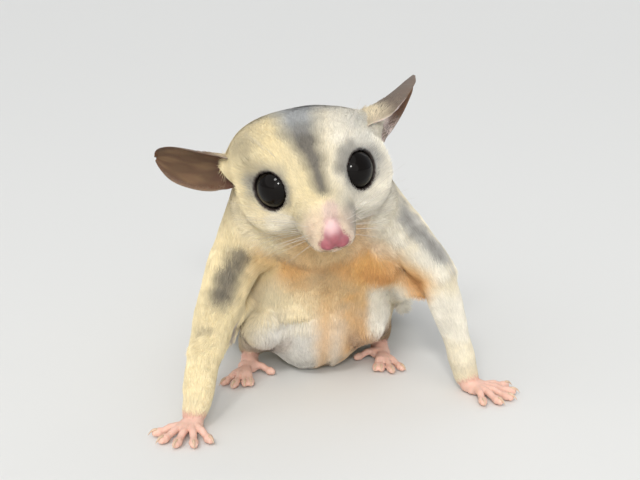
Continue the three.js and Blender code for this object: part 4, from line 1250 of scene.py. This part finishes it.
def density(P):
    """Tufts for each square millimetre of skin."""
    H, on_head = by_head(P)
    many = mix(np.full(len(P), 7.0), 13.0, on_head)
    many = mix(many, 20.0, smooth(4, -6, H[:, 1]) * on_head)
    many = mix(many, 12.0, smooth(-26, -34, P[:, 1]) * (1 - on_head))
    many = mix(many, 5.0, smooth(-6, 4, P[:, 1]))
    limbs = np.minimum.reduce([chain(limbs[s][1:])(P) for limbs in (ARMS, LEGS) for s in SIDES])
    many = mix(many, 12.0, smooth(2, 0, limbs) * (1 - on_head) * smooth(-5, -15, P[:, 1]))
    many = mix(many, 0.0, smooth(42, 52, P[:, 1]))
    return many * (1 - bare(P)) * THINNED


def tuft_width(P):
    return np.clip(0.045 + 0.017 * coat_length(P), 0.06, 0.13)


def tuft_rise(P):
    """How steeply a tuft stands at each point, in radians."""
    return mix(mix(0.22, 0.3, smooth(-30, -20, P[:, 1])), 0.2, by_head(P)[1])


P, N = scatter(skin_points, skin_faces, skin_normals, density, 31)
colours = coat_colour(P)
H, on_head = by_head(P)
head = on_head > 0.5
before = P[:, 1] < -22
left = P[:, 0] > 1
groups = {
    "coat_face": head & (H[:, 1] < 1),
    "coat_head": head & (H[:, 1] >= 1),
    "coat_front_left": ~head & before & left,
    "coat_front_right": ~head & before & ~left,
    "coat_side_left": ~head & ~before & left,
    "coat_side_right": ~head & ~before & ~left,
}
for number, (name, pick) in enumerate(groups.items()):
    at, out = P[pick], N[pick]
    sizes = coat_length(at), tuft_width(at), tuft_rise(at)
    coat_piece(name, at, out, lie_of(at, out), *sizes, colours[pick], 100 + 10 * number)

# The tail's long hairs
TAIL_HAIRS = 30000
TAIL_PIECES = 2
HAIR_LONG, HAIR_WIDE = 15.5, 0.19
own = np.random.default_rng(61)
line, way = on_tail(mix(32.0, 189.8, own.random(TAIL_HAIRS) ** 0.95))
aside = unit(np.cross(way, [0, 0, 1]))
above = np.cross(aside, way)
angle = own.random(TAIL_HAIRS) * 2 * math.pi
N = aside * np.cos(angle)[:, None] + above * np.sin(angle)[:, None]
P = line[:, :3] + N * line[:, 3:4]
colours = coat_colour(P + N * 4 * smooth(6, 9, P[:, 2])[:, None])
along = (P[:, 1] - 41) / 148.5
long = HAIR_LONG * mix(0.3, 1.0, smooth(30, 80, P[:, 1])) * mix(1.0, 1.15, smooth(0.85, 1, along))
rise = mix(0.36, -0.06, smooth(0.78, 1, along)) * (1 - 0.7 * smooth(3.5, 1.0, P[:, 2]))
for part, some in enumerate(np.array_split(np.arange(len(P)), TAIL_PIECES)):
    at, out = P[some], N[some]
    coat_piece(f"coat_tail_{part + 1}", at, out, lie_of(at, out), long[some], HAIR_WIDE, rise[some],
               colours[some], 300 + part, (0.3, 0.66), clump=4.5, pull=0.4, stray=0.16)

# Short fur on the backs of the ears and tufts at their bases
for side, name in SIDES.items():
    V, F, _ = ear_meshes[side]
    quads = (EAR_ROWS - 1) * (EAR_COLUMNS - 1)
    root_at = from_head(EARS[side]["root"])

    def ear_density(P, root_at=root_at):
        return mix(10.0, 5.0, smooth(6, 16, far(P, root_at))) * THINNED

    P, N = scatter(V, F[quads:2 * quads], vertex_normals(V, F), ear_density, 71 + side)
    away = far(P, root_at)
    fur = Paint(len(P), EAR_FUR[side])
    fur(EAR_ROOT_FUR, smooth(7, 2, away))
    fur(EAR_BACK * 0.9, 0.8 * smooth(10, 18, away))
    onward = HEAD @ unit(EARS[side]["along"])
    way = unit(onward - N * (N @ onward)[:, None])
    long = mix(2.2, 0.7, smooth(2, 17, away))
    coat_piece(f"coat_ear_{name}", P, N, way, long, 0.08, 0.3, fur.rgb, 81 + side, clump=1.5, pull=0.2)

# Whiskers
WHISKER_POINTS = 9
own = np.random.default_rng(91)
whisker_paths = []


def whisker(start, way, bend, long):
    t = np.linspace(0, 1, WHISKER_POINTS)[:, None]
    whisker_paths.append(from_head(start + way * long * t + bend * long * 0.5 * t**2))


for s in SIDES:
    for row in range(4):
        for n in range(4):
            start = np.array([0.4 + s * (3.0 + 0.75 * n), -12.6 + 1.15 * n, -5.4 - 1.0 * row + 0.2 * n])
            long = 9 + 3.4 * n + 3 * own.random()
            way = unit([s * (1.0 + 0.1 * n), 0.1 + 0.28 * n, 0.25 - 0.24 * row + 0.1 * own.normal()])
            whisker(start, way, np.array([0, 0.35, -0.25 - 0.1 * own.random()]), long)
    # Over the eyes
    for n in range(3):
        start = np.array([s * (7.4 + 1.2 * n), 0.2 + 1.2 * n, 7.0])
        way = unit([s * 0.5, -0.1 + 0.3 * n, 1])
        whisker(start, way, np.array([s * 0.2, 0.4, -0.2]), 8 + 2 * own.random())
whisker_radii = mix(0.06, 0.012, np.linspace(0, 1, WHISKER_POINTS))
add_tubes("whiskers", whisker_paths, whisker_radii, 4, WHISKER, "coat")

# Stage, light and camera

floor = bpy.data.meshes.new("floor")
floor.from_pydata([(-40, -40, 0), (40, -40, 0), (40, 40, 0), (-40, 40, 0)], [], [(0, 1, 2, 3)])
floor.materials.append(material("floor", 0.9, linear(222, 222, 220)))
in_scene("floor", floor)

scene.world = bpy.data.worlds.new("studio")
scene.world.use_nodes = True
background = scene.world.node_tree.nodes["Background"].inputs
background["Color"].default_value = (0.93, 0.96, 1.0, 1)
background["Strength"].default_value = 0.5


def aimed(name, data, at, way):
    thing = in_scene(name, data)
    thing.location = at
    thing.rotation_mode = "QUATERNION"
    thing.rotation_quaternion = Vector(way).to_track_quat("-Z", "Y")
    return thing


def sun(name, at, strength, angle, colour):
    lamp = bpy.data.lights.new(name, "SUN")
    lamp.energy = strength
    lamp.angle = math.radians(angle)
    lamp.color = colour
    aimed(name, lamp, at, -Vector(at))


# Broad lights far off keep the floor even, and a small one gives the eyes their highlights
sun("window", (-0.3, -0.8, 0.9), 0.8, 12, (1, 0.98, 0.95))
sun("sky", (-0.5, -0.7, 1.0), 0.95, 90, (1, 0.98, 0.95))
sun("fill", (0.15, -1.0, 0.22), 0.55, 60, (1, 0.98, 0.96))
sun("rim", (0.3, 0.9, 0.7), 0.4, 50, (1, 1, 1))
key = bpy.data.lights.new("key", "AREA")
key.shape = "DISK"
key.size = 0.11
key.energy = 1.9
key.color = (1, 0.98, 0.94)
key_at = Vector((0.0, -0.8, 0.42))
aimed("key", key, key_at, Vector((0, -0.06, 0.05)) - key_at)
scene.view_settings.view_transform = "Standard"

camera = bpy.data.cameras.new("camera")
camera.lens = 58.70
camera.sensor_width = 36
camera.clip_start = 0.01
camera.clip_end = 10
scene.camera = aimed("camera", camera, (0, -0.30059, 0.0998), (0.00418, 0.96905, -0.24684))
